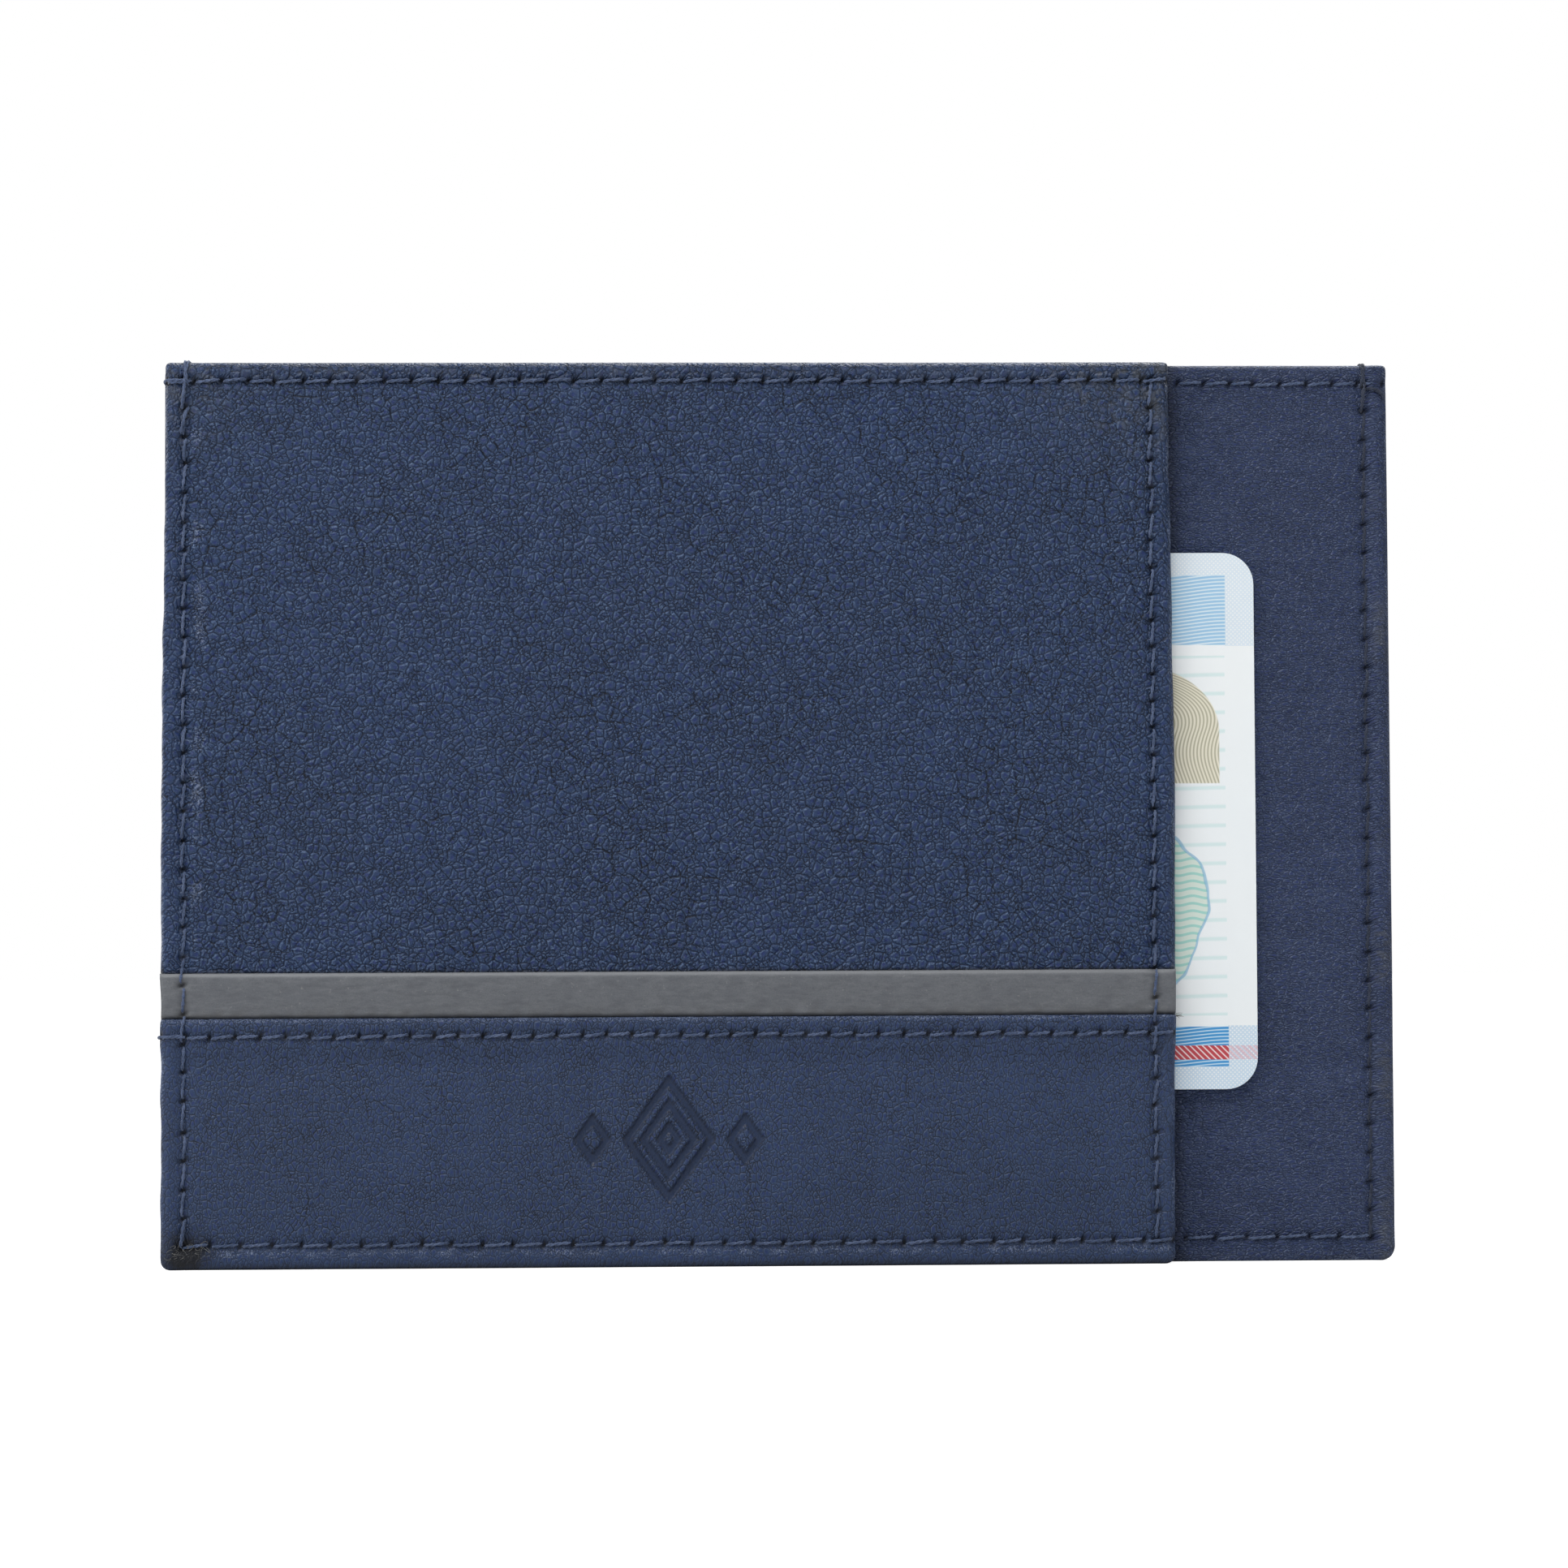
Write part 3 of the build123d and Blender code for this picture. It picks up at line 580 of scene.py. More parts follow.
def rear_inner_panel():
    seams = list(REAR_SEAMS.values())
    hidden_columns = grid_lines(LEFT, MOUTH - 4, 2.5)
    shown_columns = grid_lines(MOUTH - 4, RIGHT, 0.3, seams[0].holes)
    columns = np.concatenate([hidden_columns, shown_columns[1:]])
    rows = grid_lines(FOOT, TOP, 0.36, seams[1].holes)
    sheet = Sheet(columns, rows, (1.2, 1.5, 1.0, 0.5))
    x, z = sheet.x, sheet.z
    press, painted_shade = seam_press(x, z, seams)
    shown = ease(x, MOUTH, MOUTH + 1)
    swell = np.maximum.reduce([
        puff(RIGHT - x, RIGHT - RIGHT_SEAM, 0.28),
        shown * puff(TOP - z, TOP - TOP_SEAM, 0.14),
        shown * puff(z - FOOT, BOTTOM_SEAM - FOOT, 0.12),
    ])
    card_foot = CARD[2][0]
    pinched = bell(x - MOUTH - 1.5, 3.0) * ease(x, MOUTH - 1, MOUTH) * bell(z - card_foot + 2.8, 2.6)
    wrinkle = pinched * (0.05 * waves(x * 1.4, z, 1.5, 74) + 0.04 * waves(x, z * 1.5, 2.6, 75))
    face = REAR_FACE - rear_slack(x, z) - swell + press + wrinkle + sheet.roll(0.9, 0.55)
    sheet.side(sheet.border(face), REAR_BACK, ((0.3, -0.03), (0.6, 0.0), (0.85, 0.08), (1.0, 0.22)))
    edge_marks(sheet, seams, 0.8)
    side = bell(RIGHT - x - 1.0, 0.9) * np.clip(0.2 + 0.9 * waves(x * 0.5, z, 9, 55), 0, 1)
    sheet.marks["soil_and_shade"] = np.clip(0.8 * side, 0, 1)
    # Painted shade: along the pocket mouth, where the front wall stands over this leather, and in the
    # puckers below the card beside the mouth.
    mouth_shade = (1 - ease(x, MOUTH, MOUTH + 1.6)) * ease(x, MOUTH - 3, MOUTH - 0.5)
    pucker_shade = pinched * np.clip(0.5 * waves(x * 1.4, z, 1.5, 74), 0, 1)
    sheet.marks["painted_shade"] = np.maximum.reduce([0.8 * painted_shade, 0.45 * mouth_shade, 0.8 * pucker_shade])
    # Painted highlight: a whitish line along the top edge beside the pocket (the mark goes past 1 here).
    sheet.raise_mark("wear_and_highlight", 1.2 * bell(TOP - z, 0.16) * shown)
    return sheet.build("rear_inner_leather", face)


# ---- back: top strip and stepped slots -------------------------------------------------------------------
def side_closeness(x):
    """0 at the left and right edges, 1 where the slots stand fully open."""
    return ease(np.minimum(x - LEFT, RIGHT - x), 1.2, 11.0)


def side_stack(k, z):
    """Y of what slot k's leather is sewn down on at the sides: the rear wall, and strips reaching there."""
    stack = REAR_BACK + (TOP_STRIP_BACK - REAR_BACK) * ease(z, TOP_STRIP_FOOT - 1.3, TOP_STRIP_FOOT)
    for lower in range(1, k):
        stack = stack + (STRIP_THICKNESS + CONTACT) * ease(z, STRIP_FOOT[lower] - 1.3, STRIP_FOOT[lower])
    return stack


def thickness_of(k):
    return OUTER_THICKNESS if k == 4 else STRIP_THICKNESS


def strip_outer(k, x, z):
    """Y of the outer face of slot k's leather, pinched at the sides and leaning in at its mouth."""
    mouth = SLOT_MOUTH[k]
    open_share = side_closeness(x)
    side_face = side_stack(k, z) + CONTACT + thickness_of(k)
    outer = side_face + (STRIP_BACK[k] - side_face) * open_share
    lean = 0.38 * ease(z, mouth - 7, mouth) * open_share
    gape = 0.12 * waves(x, z * 0, 34, 80 + k) * ease(z, mouth - 9, mouth) * open_share
    outer = outer - lean + gape
    if k == 4:
        low = 1 - ease(z, 0.8, 10.5)
        outer = outer - low * (outer - (REAR_BACK + CONTACT + OUTER_THICKNESS))
    slack = 0.04 * waves(x, z, 26, 84 + k) + 0.015 * waves(x, z, 6, 88 + k)
    return outer + slack * open_share


def back_edges(x):
    """Swelling outside the side seams of the back."""
    left = puff(x - LEFT, LEFT_SEAM - LEFT, 0.12)
    right = puff(RIGHT - x, RIGHT - RIGHT_SEAM, 0.12)
    return np.maximum(left, right)


def back_face(x, z):
    """Y of the outermost back face, used to lay the stitches."""
    face = TOP_STRIP_BACK + np.zeros(np.broadcast(x, z).shape)
    for k in ALL_SLOTS:
        face = np.where(z < SLOT_MOUTH[k], strip_outer(k, x, z), face)
    return face + back_edges(x)


def back_top_strip():
    seams = [BACK_SEAMS[name] for name in ("top", "left", "right")]
    columns = grid_lines(LEFT, RIGHT, 0.46, BACK_SEAMS["top"].holes)
    rows = grid_lines(TOP_STRIP_FOOT, TOP, 0.5, seams[1].holes)
    sheet = Sheet(columns, rows, (0, 0, 1.1, 1.1))
    x, z = sheet.x, sheet.z
    press, _ = seam_press(x, z, seams)
    swell = np.maximum(back_edges(x), puff(TOP - z, TOP - TOP_SEAM, 0.12))
    face = TOP_STRIP_BACK + swell + 0.02 * waves(x, z, 9, 91) - press - sheet.roll(0.7, 0.4)
    sheet.side(sheet.border(face), REAR_BACK, ((0.5, 0.0), (1.0, 0.12)))
    edge_marks(sheet, seams)
    return sheet.build("back_top_leather", face)


def slot_leather(k):
    """One stepped slot: a soft strip, or for the last slot the whole outer panel."""
    seams = [SLOT_SEAMS[k], BACK_SEAMS["left"], BACK_SEAMS["right"]]
    if k == 4:
        seams.append(BACK_SEAMS["bottom"])
    columns = grid_lines(LEFT, RIGHT, 0.5, SLOT_SEAMS[k].holes)
    rows = grid_lines(STRIP_FOOT[k], SLOT_MOUTH[k], 0.55, BACK_SEAMS["left"].holes if k < 4 else ())
    radii = (1.4, 1.4, 0.8, 0.8) if k == 4 else (0, 0, 0.8, 0.8)
    sheet = Sheet(columns, rows, radii)
    spread = 0.10 * (k >= 3)  # the outer two lap a little over the edges of the others
    sheet.x = CENTRE + (sheet.x - CENTRE) * (1 + spread / (RIGHT - CENTRE))
    uneven_mouth = 0.06 * waves(sheet.x, sheet.z * 0, 23, 95 + k)
    sheet.z = sheet.z + uneven_mouth * ease(sheet.z, SLOT_MOUTH[k] - 4, SLOT_MOUTH[k])
    x, z = sheet.x, sheet.z
    press, _ = seam_press(x, z, seams)
    swell = np.maximum(back_edges(x), 0.1 * puff(SLOT_MOUTH[k] - z, 2.2, 1.0))
    base = strip_outer(k, x, z)
    face = base + swell - press - sheet.roll(0.5, 0.26)
    back = base - thickness_of(k) + 0.05 * np.exp(-sheet.edge / 0.3)
    sheet.side(sheet.border(face), sheet.border(back), ((0.35, -0.03), (0.7, 0.0)))
    edge_marks(sheet, seams)
    return sheet.build(f"slot_{k}_leather", face, back, 0.1)


def slot_tail(k):
    """The cloth tail under a slot's strip: it runs down behind the next slots to its own floor seam."""
    (left, right), (_, open_face), (foot, top) = span(f"slot_{k}_tail")
    sheet = Sheet(grid_lines(left, right, 1.2), grid_lines(foot, top, 1.2))
    x, z = sheet.x, sheet.z
    face = np.full(sheet.shape, open_face)
    for outer in range(k, 5):
        limit = strip_outer(outer, x, z) - thickness_of(outer) - 0.12 * (outer - k + 1)
        face = np.where(z < SLOT_MOUTH[outer] + 0.5, np.minimum(face, limit), face)
    sewn = REAR_BACK + 0.5
    face = np.maximum(face - (1 - ease(z, foot + 0.5, foot + 6)) * (face - sewn), REAR_BACK + 0.3)
    return sheet.build(f"slot_{k}_cloth", face, face - 0.15, 0.02)


# ---- threads ---------------------------------------------------------------------------------------------
def across_path(path, outward):
    """Two directions across a path at each of its points; the second leans towards outward."""
    tangent = np.gradient(path, axis=0)
    tangent /= np.linalg.norm(tangent, axis=1, keepdims=True)
    side = np.cross(tangent, outward)
    side /= np.linalg.norm(side, axis=1, keepdims=True)
    return side, np.cross(side, tangent)


class Thread:
    """Collects twisted two-ply stitches into one mesh."""

    def __init__(self, seed, painted_shade=0.0, ply=0.1, spread=0.068, twist=1.5):
        self.painted_shade = painted_shade
        self.pale = 0.0
        self.pale_marks = []
        self.points = []
        self.faces = []
        self.count = 0
        self.rng = np.random.default_rng(seed)
        self.ply = ply
        self.spread = spread
        self.twist = twist

    def lay(self, path, outward, thin_ends=True):
        """One stretch of twisted thread along a path; outward points away from the leather."""
        side, up = across_path(path, outward)
        steps = np.linalg.norm(np.diff(path, axis=0), axis=1)
        run = np.concatenate([[0], np.cumsum(steps)])
        start = self.rng.uniform(0, 2 * math.pi)
        thickness = np.ones(len(path))
        if thin_ends:
            thickness = 0.75 + 0.25 * ease(np.minimum(run, run[-1] - run), 0, 0.4)
        for half in (0, math.pi):
            turn = start + half + 2 * math.pi * run / self.twist
            lift = self.spread * thickness
            sideways, outwards = (np.cos(turn) * lift)[:, None], (np.sin(turn) * 0.8 * lift)[:, None]
            self.tube(path + sideways * side + outwards * up, side, up, self.ply * thickness)

    def tube(self, axis, side, up, radius, sides=8):
        angles = np.arange(sides) * 2 * math.pi / sides
        across, along = np.cos(angles)[None, :, None], np.sin(angles)[None, :, None]
        ring = across * side[:, None, :] + along * up[:, None, :]
        points = axis[:, None, :] + ring * radius[:, None, None]
        grid = np.arange(len(axis) * sides).reshape(len(axis), sides) + self.count
        for first, second in zip(grid[:-1], grid[1:]):
            self.faces += band_of(first, second).tolist()
        self.faces.append(grid[0].tolist())
        self.faces.append(grid[-1].tolist())
        self.points.append(points.reshape(-1, 3))
        self.pale_marks.append(np.full(len(axis) * sides, self.pale))
        self.count += len(axis) * sides

    def build(self, name):
        piece = new_mesh(name, np.concatenate(self.points), self.faces)
        marks = {"painted_shade": np.full(self.count, self.painted_shade), "pale": np.concatenate(self.pale_marks)}
        for mark, values in marks.items():
            write_mark(piece, mark, values)
        return piece

    def fibre(self, path):
        """One loose pale fibre."""
        radius = 0.028
        side, up = across_path(path, (0.0, 0.2, 1.0))
        self.pale = 1.0
        self.tube(path, side, up, np.linspace(radius, 0.4 * radius, len(path)), sides=5)
        self.pale = 0.0


def stitch_row(thread, seam, surface, outward_y, proud=0.12):
    """Stitches from hole to hole; surface(x, z) is Y, and outward_y is -1 in front and 1 behind."""
    slant, sunk = 0.13, 0.42
    rng = np.random.default_rng(seam.seed + 100)
    share = np.linspace(0, 1, 20)
    outward = np.array([0.0, outward_y, 0.0])
    for hole, next_hole in zip(seam.holes[:-1], seam.holes[1:]):
        start, end = hole + 0.2, next_hole - 0.2
        run = start + (end - start) * share
        off = np.interp(run, seam.holes, seam.sway) + slant * (2 * share - 1) + rng.normal(0, 0.025)
        off = off + rng.normal(0, 0.04) * np.sin(math.pi * share)
        x, z = seam.point(run, off)
        height = -sunk + (sunk + proud + rng.normal(0, 0.02)) * (1 - np.abs(2 * share - 1) ** 6)
        y = surface(x, z) + outward_y * height
        thread.lay(np.stack([x, y, z], axis=1), outward)


def smooth_path(places, count=40):
    """A rounded curve through a few places, by repeated corner cutting."""
    path = np.asarray(places, float)
    for _ in range(3):
        near, far = path[:-1], path[1:]
        cut = np.stack([0.75 * near + 0.25 * far, 0.25 * near + 0.75 * far], axis=1).reshape(-1, 3)
        path = np.concatenate([path[:1], cut, path[-1:]])
    run = np.concatenate([[0], np.cumsum(np.linalg.norm(np.diff(path, axis=0), axis=1))])
    even = np.linspace(0, run[-1], count)
    return np.stack([np.interp(even, run, path[:, axis]) for axis in range(3)], axis=1)


def wrap_top(thread, x, front, back):
    """Strands of a side seam that go over the top edge, from the front face to the back face."""
    for slant in (-0.14, 0.17):
        places = [
            (x - slant, front + 0.35, TOP_SEAM - 0.5),
            (x - slant, front - 0.2, TOP_SEAM - 0.2),
            (x + slant * 0.3, front - 0.22, TOP - 0.7),
            (x + slant, front + 0.15, TOP - 0.02),
            (x + slant, front + 0.9, TOP + 0.14),
            (x + slant, back - 0.9, TOP + 0.14),
            (x + slant, back - 0.1, TOP - 0.05),
            (x, back + 0.16, TOP - 0.7),
            (x, back - 0.35, TOP_SEAM - 0.4),
        ]
        thread.lay(smooth_path(places, 70), np.array([0.31, -0.42, 0.85]), thin_ends=False)


def wrap_left(thread, z, front, back, inset=0.0):
    """A strand that leaves a seam, goes round the left edge and comes back on the other face."""
    edge = LEFT + inset
    places = [
        (LEFT_SEAM + 0.3, front - 0.05, z),
        (edge + 1.2, front - 0.2, z + 0.05),
        (edge + 0.5, front - 0.12, z + 0.05),
        (edge - 0.1, front + 0.35, z),
        (edge - 0.14, front + 1.2, z - 0.1),
        (edge - 0.14, back - 1.2, z - 0.1),
        (edge - 0.1, back - 0.3, z),
        (edge + 0.7, back + 0.14, z),
        (LEFT_SEAM + 0.2, back + 0.05, z),
        (LEFT_SEAM + 0.3, back - 0.4, z),
    ]
    thread.lay(smooth_path(places, 80), np.array([-0.7, -0.3, 0.2]), thin_ends=False)


def wrap_hem(thread, z, front):
    """A strand that leaves a seam of the front wall and goes in behind its left edge."""
    places = [
        (LEFT_SEAM + 0.3, front - 0.05, z),
        (LEFT + 1.2, front - 0.2, z + 0.05),
        (LEFT + 0.45, front - 0.12, z + 0.05),
        (LEFT - 0.1, front + 0.4, z),
        (LEFT - 0.14, front + 1.3, z - 0.1),
        (LEFT - 0.1, REAR_FACE - 0.25, z - 0.1),
        (LEFT + 0.6, REAR_FACE + 0.05, z - 0.1),
    ]
    thread.lay(smooth_path(places, 60), np.array([-0.7, -0.3, 0.2]), thin_ends=False)


def tack(thread, x, low, high, face, slant=0.22):
    """A second stitch sewn back over a seam, from hole to hole but crossing the first."""
    places = [
        (x - slant, face + 0.35, low),
        (x - slant * 0.8, face - 0.2, low + 0.25),
        (x, face - 0.42, (low + high) / 2),
        (x + slant * 0.8, face - 0.2, high - 0.25),
        (x + slant, face + 0.35, high),
    ]
    thread.lay(smooth_path(places, 36), np.array([0.0, -1.0, 0.0]))


def front_face(x, z):
    """Y of the front wall's outer face, used to lay the stitches."""
    wall = FRONT_FACE - front_slack(x, z) - front_edges(x, z)
    stripe = stripe_face(x, z)
    face = np.where(z < BAND_TOP, wall - band_lap(z), wall)
    return np.where((z >= BAND_TOP) & (z < STRIPE_TOP), stripe, face)


def front_seam_face(x, z):
    return front_face(x, z) + 0.08


def soft_front(x, z):
    """The front face with its steps eased, because a tight thread bridges them."""
    shifts = (-0.5, -0.25, 0.0, 0.25, 0.5)
    return sum(front_seam_face(x, z + shift) for shift in shifts) / len(shifts)


def rear_seam_face(x, z):
    return REAR_FACE - rear_slack(x, z) + 0.1


def back_seam_face(x, z):
    shifts = (-0.4, -0.2, 0.0, 0.2, 0.4)
    return sum(back_face(x, z + shift) for shift in shifts) / len(shifts) - 0.08


def top_seam_thread():
    thread = Thread(201)
    stitch_row(thread, FRONT_SEAMS["top"], front_seam_face, -1)
    stitch_row(thread, REAR_SEAMS["top"], rear_seam_face, -1)
    stitch_row(thread, BACK_SEAMS["top"], back_seam_face, 1)
    wrap_left(thread, TOP_SEAM, FRONT_FACE, TOP_STRIP_BACK, 0.42)
    return thread.build("top_seam_stitches")


def bottom_seam_thread():
    thread = Thread(202)
    stitch_row(thread, FRONT_SEAMS["bottom"], front_seam_face, -1)
    stitch_row(thread, REAR_SEAMS["bottom"], rear_seam_face, -1)
    stitch_row(thread, BACK_SEAMS["bottom"], back_seam_face, 1)
    fray = np.random.default_rng(208)
    for _ in range(18):
        root = np.array([LEFT + fray.uniform(0.9, 4.6), FRONT_FACE + 0.05, fray.uniform(1.0, 2.7)])
        turn = fray.uniform(0, 2 * math.pi)
        curl = fray.uniform(0.25, 0.5) * np.array([math.cos(turn), 0, math.sin(turn)])
        drift = np.array([fray.normal(0, 0.3), -0.22, fray.normal(0, 0.25)])
        places = [root, root + curl + drift, root + drift * 1.6, root - curl * 0.5 + drift]
        thread.fibre(smooth_path(places, 12))
    return thread.build("bottom_seam_stitches")


def left_seam_thread():
    thread = Thread(203)
    stitch_row(thread, FRONT_SEAMS["left"], soft_front, -1)
    stitch_row(thread, BACK_SEAMS["left"], back_seam_face, 1)
    wrap_top(thread, LEFT_SEAM + 0.2, FRONT_FACE, TOP_STRIP_BACK)
    holes = FRONT_SEAMS["left"].holes
    tack(thread, LEFT_SEAM, holes[-2] - 0.1, holes[-1] + 0.2, FRONT_FACE)
    tack(thread, LEFT_SEAM + 0.05, holes[-3] + 0.3, holes[-2] + 0.1, FRONT_FACE, 0.4)
    tack(thread, LEFT_SEAM, holes[0] + 0.1, holes[1] - 0.1, FRONT_FACE)
    return thread.build("left_seam_stitches")


def right_seam_thread():
    # Painted shade darkens this whole thread.
    thread = Thread(204, painted_shade=0.75)
    stitch_row(thread, REAR_SEAMS["right"], rear_seam_face, -1, proud=0.02)
    stitch_row(thread, BACK_SEAMS["right"], back_seam_face, 1)
    wrap_top(thread, RIGHT_SEAM, REAR_FACE, TOP_STRIP_BACK)
    holes = REAR_SEAMS["right"].holes
    tack(thread, RIGHT_SEAM, holes[-2] - 0.1, holes[-1] + 0.2, REAR_FACE)
    loose = [
        (RIGHT_SEAM + 0.1, REAR_FACE + 0.2, TOP_SEAM - 0.6),
        (RIGHT_SEAM + 0.6, REAR_FACE - 0.35, TOP_SEAM - 0.5),
        (RIGHT_SEAM + 1.4, REAR_FACE - 0.5, TOP_SEAM - 0.7),
        (RIGHT_SEAM + 2.0, REAR_FACE - 0.45, TOP_SEAM - 1.2),
        (RIGHT_SEAM + 2.2, REAR_FACE - 0.3, TOP_SEAM - 1.7),
    ]
    thread.lay(smooth_path(loose, 30), np.array([0.0, -1.0, 0.0]))
    return thread.build("right_seam_stitches")


def mouth_seam_thread():
    thread = Thread(205)
    stitch_row(thread, FRONT_SEAMS["mouth"], soft_front, -1)
    return thread.build("mouth_seam_stitches")


def band_seam_thread():
    thread = Thread(206)
    stitch_row(thread, FRONT_SEAMS["band"], front_seam_face, -1)
    wrap_hem(thread, BAND_SEAM, BAND_FACE)
    tuft = np.random.default_rng(207)
    for _ in range(9):
        start = np.array([MOUTH - 0.15, BAND_FACE + 0.35, BAND_TOP + tuft.uniform(-0.25, 0.1)])
        reach = np.array([tuft.uniform(0.35, 0.8), tuft.uniform(-0.25, 0.2), tuft.uniform(-0.35, 0.5)])
        bend = tuft.normal(0, 0.12, 3)
        thread.fibre(smooth_path([start, start + 0.5 * reach + bend, start + reach], 12))
    return thread.build("band_seam_stitches")


def slot_mouth_thread(k):
    thread = Thread(210 + k)
    stitch_row(thread, SLOT_SEAMS[k], lambda x, z: strip_outer(k, x, z) - 0.06, 1)
    return thread.build(f"slot_{k}_mouth_stitches")


# ---- materials -------------------------------------------------------------------------------------------
class Shader:
    """A short way to write a node material."""

    def __init__(self, name):
        self.material = bpy.data.materials.new(name)
        self.material.use_nodes = True
        self.tree = self.material.node_tree
        self.tree.nodes.clear()

    def node(self, kind, inputs=None, **settings):
        node = self.tree.nodes.new("ShaderNode" + kind)
        for key, value in settings.items():
            setattr(node, key, value)
        for key, value in (inputs or {}).items():
            self.plug(value, node.inputs[key])
        return node

    def plug(self, value, socket):
        if isinstance(value, bpy.types.NodeSocket):
            self.tree.links.new(value, socket)
        else:
            socket.default_value = value

    def math(self, operation, a, b=0.0, clamp=False):
        node = self.node("Math", {0: a, 1: b}, operation=operation)
        node.use_clamp = clamp
        return node.outputs[0]

    def vector(self, operation, a, b):
        return self.node("VectorMath", {0: a, 1: b}, operation=operation).outputs[0]

    def add(self, a, b):
        return self.math("ADD", a, b)

    def less(self, a, b):
        return self.math("SUBTRACT", a, b)

    def times(self, a, b):
        return self.math("MULTIPLY", a, b)

    def sine(self, value):
        return self.math("SINE", value)

    def most(self, a, b):
        return self.math("MAXIMUM", a, b)

    def ramp(self, value, low, high, start=0.0, end=1.0):
        """Smoothly remap a value."""
        inputs = {"Value": value, "From Min": low, "From Max": high, "To Min": start, "To Max": end}
        return self.node("MapRange", inputs, interpolation_type="SMOOTHSTEP").outputs[0]

    def mix(self, share, a, b):
        """Blend two colours."""
        node = self.node("Mix", data_type="RGBA")
        self.plug(share, node.inputs[0])
        self.plug(a, node.inputs[6])
        self.plug(b, node.inputs[7])
        return node.outputs[2]

    def mix_value(self, share, a, b):
        return self.add(self.times(a, self.less(1.0, share)), self.times(b, share))

    def millimetres(self, stretch=(1, 1, 1)):
        """Object coordinates in millimetres, stretched along each axis."""
        place = self.node("TexCoord").outputs["Object"]
        return self.vector("MULTIPLY", place, tuple(factor / MM for factor in stretch))

    def noise(self, place, scale, detail=2.0, roughness=0.5, distortion=0.0, output="Fac"):
        inputs = {"Vector": place, "Scale": scale, "Detail": detail}
        inputs.update({"Roughness": roughness, "Distortion": distortion})
        return self.node("TexNoise", inputs).outputs[output]

    def unrolled(self, place):
        """A place seen from the front, as a flat coordinate, sheared so that thin sides get grain too."""
        split = self.node("SeparateXYZ", {0: place})
        across = self.add(split.outputs["X"], self.times(split.outputs["Y"], 0.6))
        up = self.add(split.outputs["Z"], self.times(split.outputs["Y"], 0.8))
        return self.node("CombineXYZ", {"X": across, "Y": up}).outputs[0]

    def cells(self, place, scale, feature="DISTANCE_TO_EDGE"):
        """Distance to the edge, or with F1 to the middle, of the cell of an irregular mosaic."""
        inputs = {"Vector": place, "Scale": scale}
        node = self.node("TexVoronoi", inputs, feature=feature, voronoi_dimensions="2D")
        return node.outputs["Distance"]

    def shift(self, place, scale, amount):
        """Warp coordinates with noise, so that cells lose their straight sides."""
        noise = self.noise(place, scale, output="Color")
        centred = self.vector("SUBTRACT", noise, (0.5, 0.5, 0.5))
        return self.vector("ADD", place, self.vector("MULTIPLY", centred, (amount,) * 3))

    def mark(self, name):
        return self.node("Attribute", attribute_name=name).outputs["Fac"]

    def bump(self, height, distance):
        return self.node("Bump", {"Height": height, "Distance": distance * MM}).outputs[0]

    def surface(self, colour, roughness, normal=None, specular=0.5, **extra):
        inputs = {"Base Color": colour, "Roughness": roughness, "Specular IOR Level": specular}
        if normal is not None:
            inputs["Normal"] = normal
        inputs.update({key.replace("_", " "): value for key, value in extra.items()})
        shader = self.node("BsdfPrincipled", inputs)
        output = self.node("OutputMaterial")
        self.tree.links.new(shader.outputs[0], output.inputs["Surface"])
        return self.material


def rgb(red, green, blue):
    """A colour from its 0-255 screen values."""
    channels = [value / 255 for value in (red, green, blue)]
    linear = [c / 12.92 if c <= 0.04045 else ((c + 0.055) / 1.055) ** 2.4 for c in channels]
    return (*linear, 1.0)


def darker(colour, share):
    return tuple(share * channel for channel in colour[:3]) + (1,)


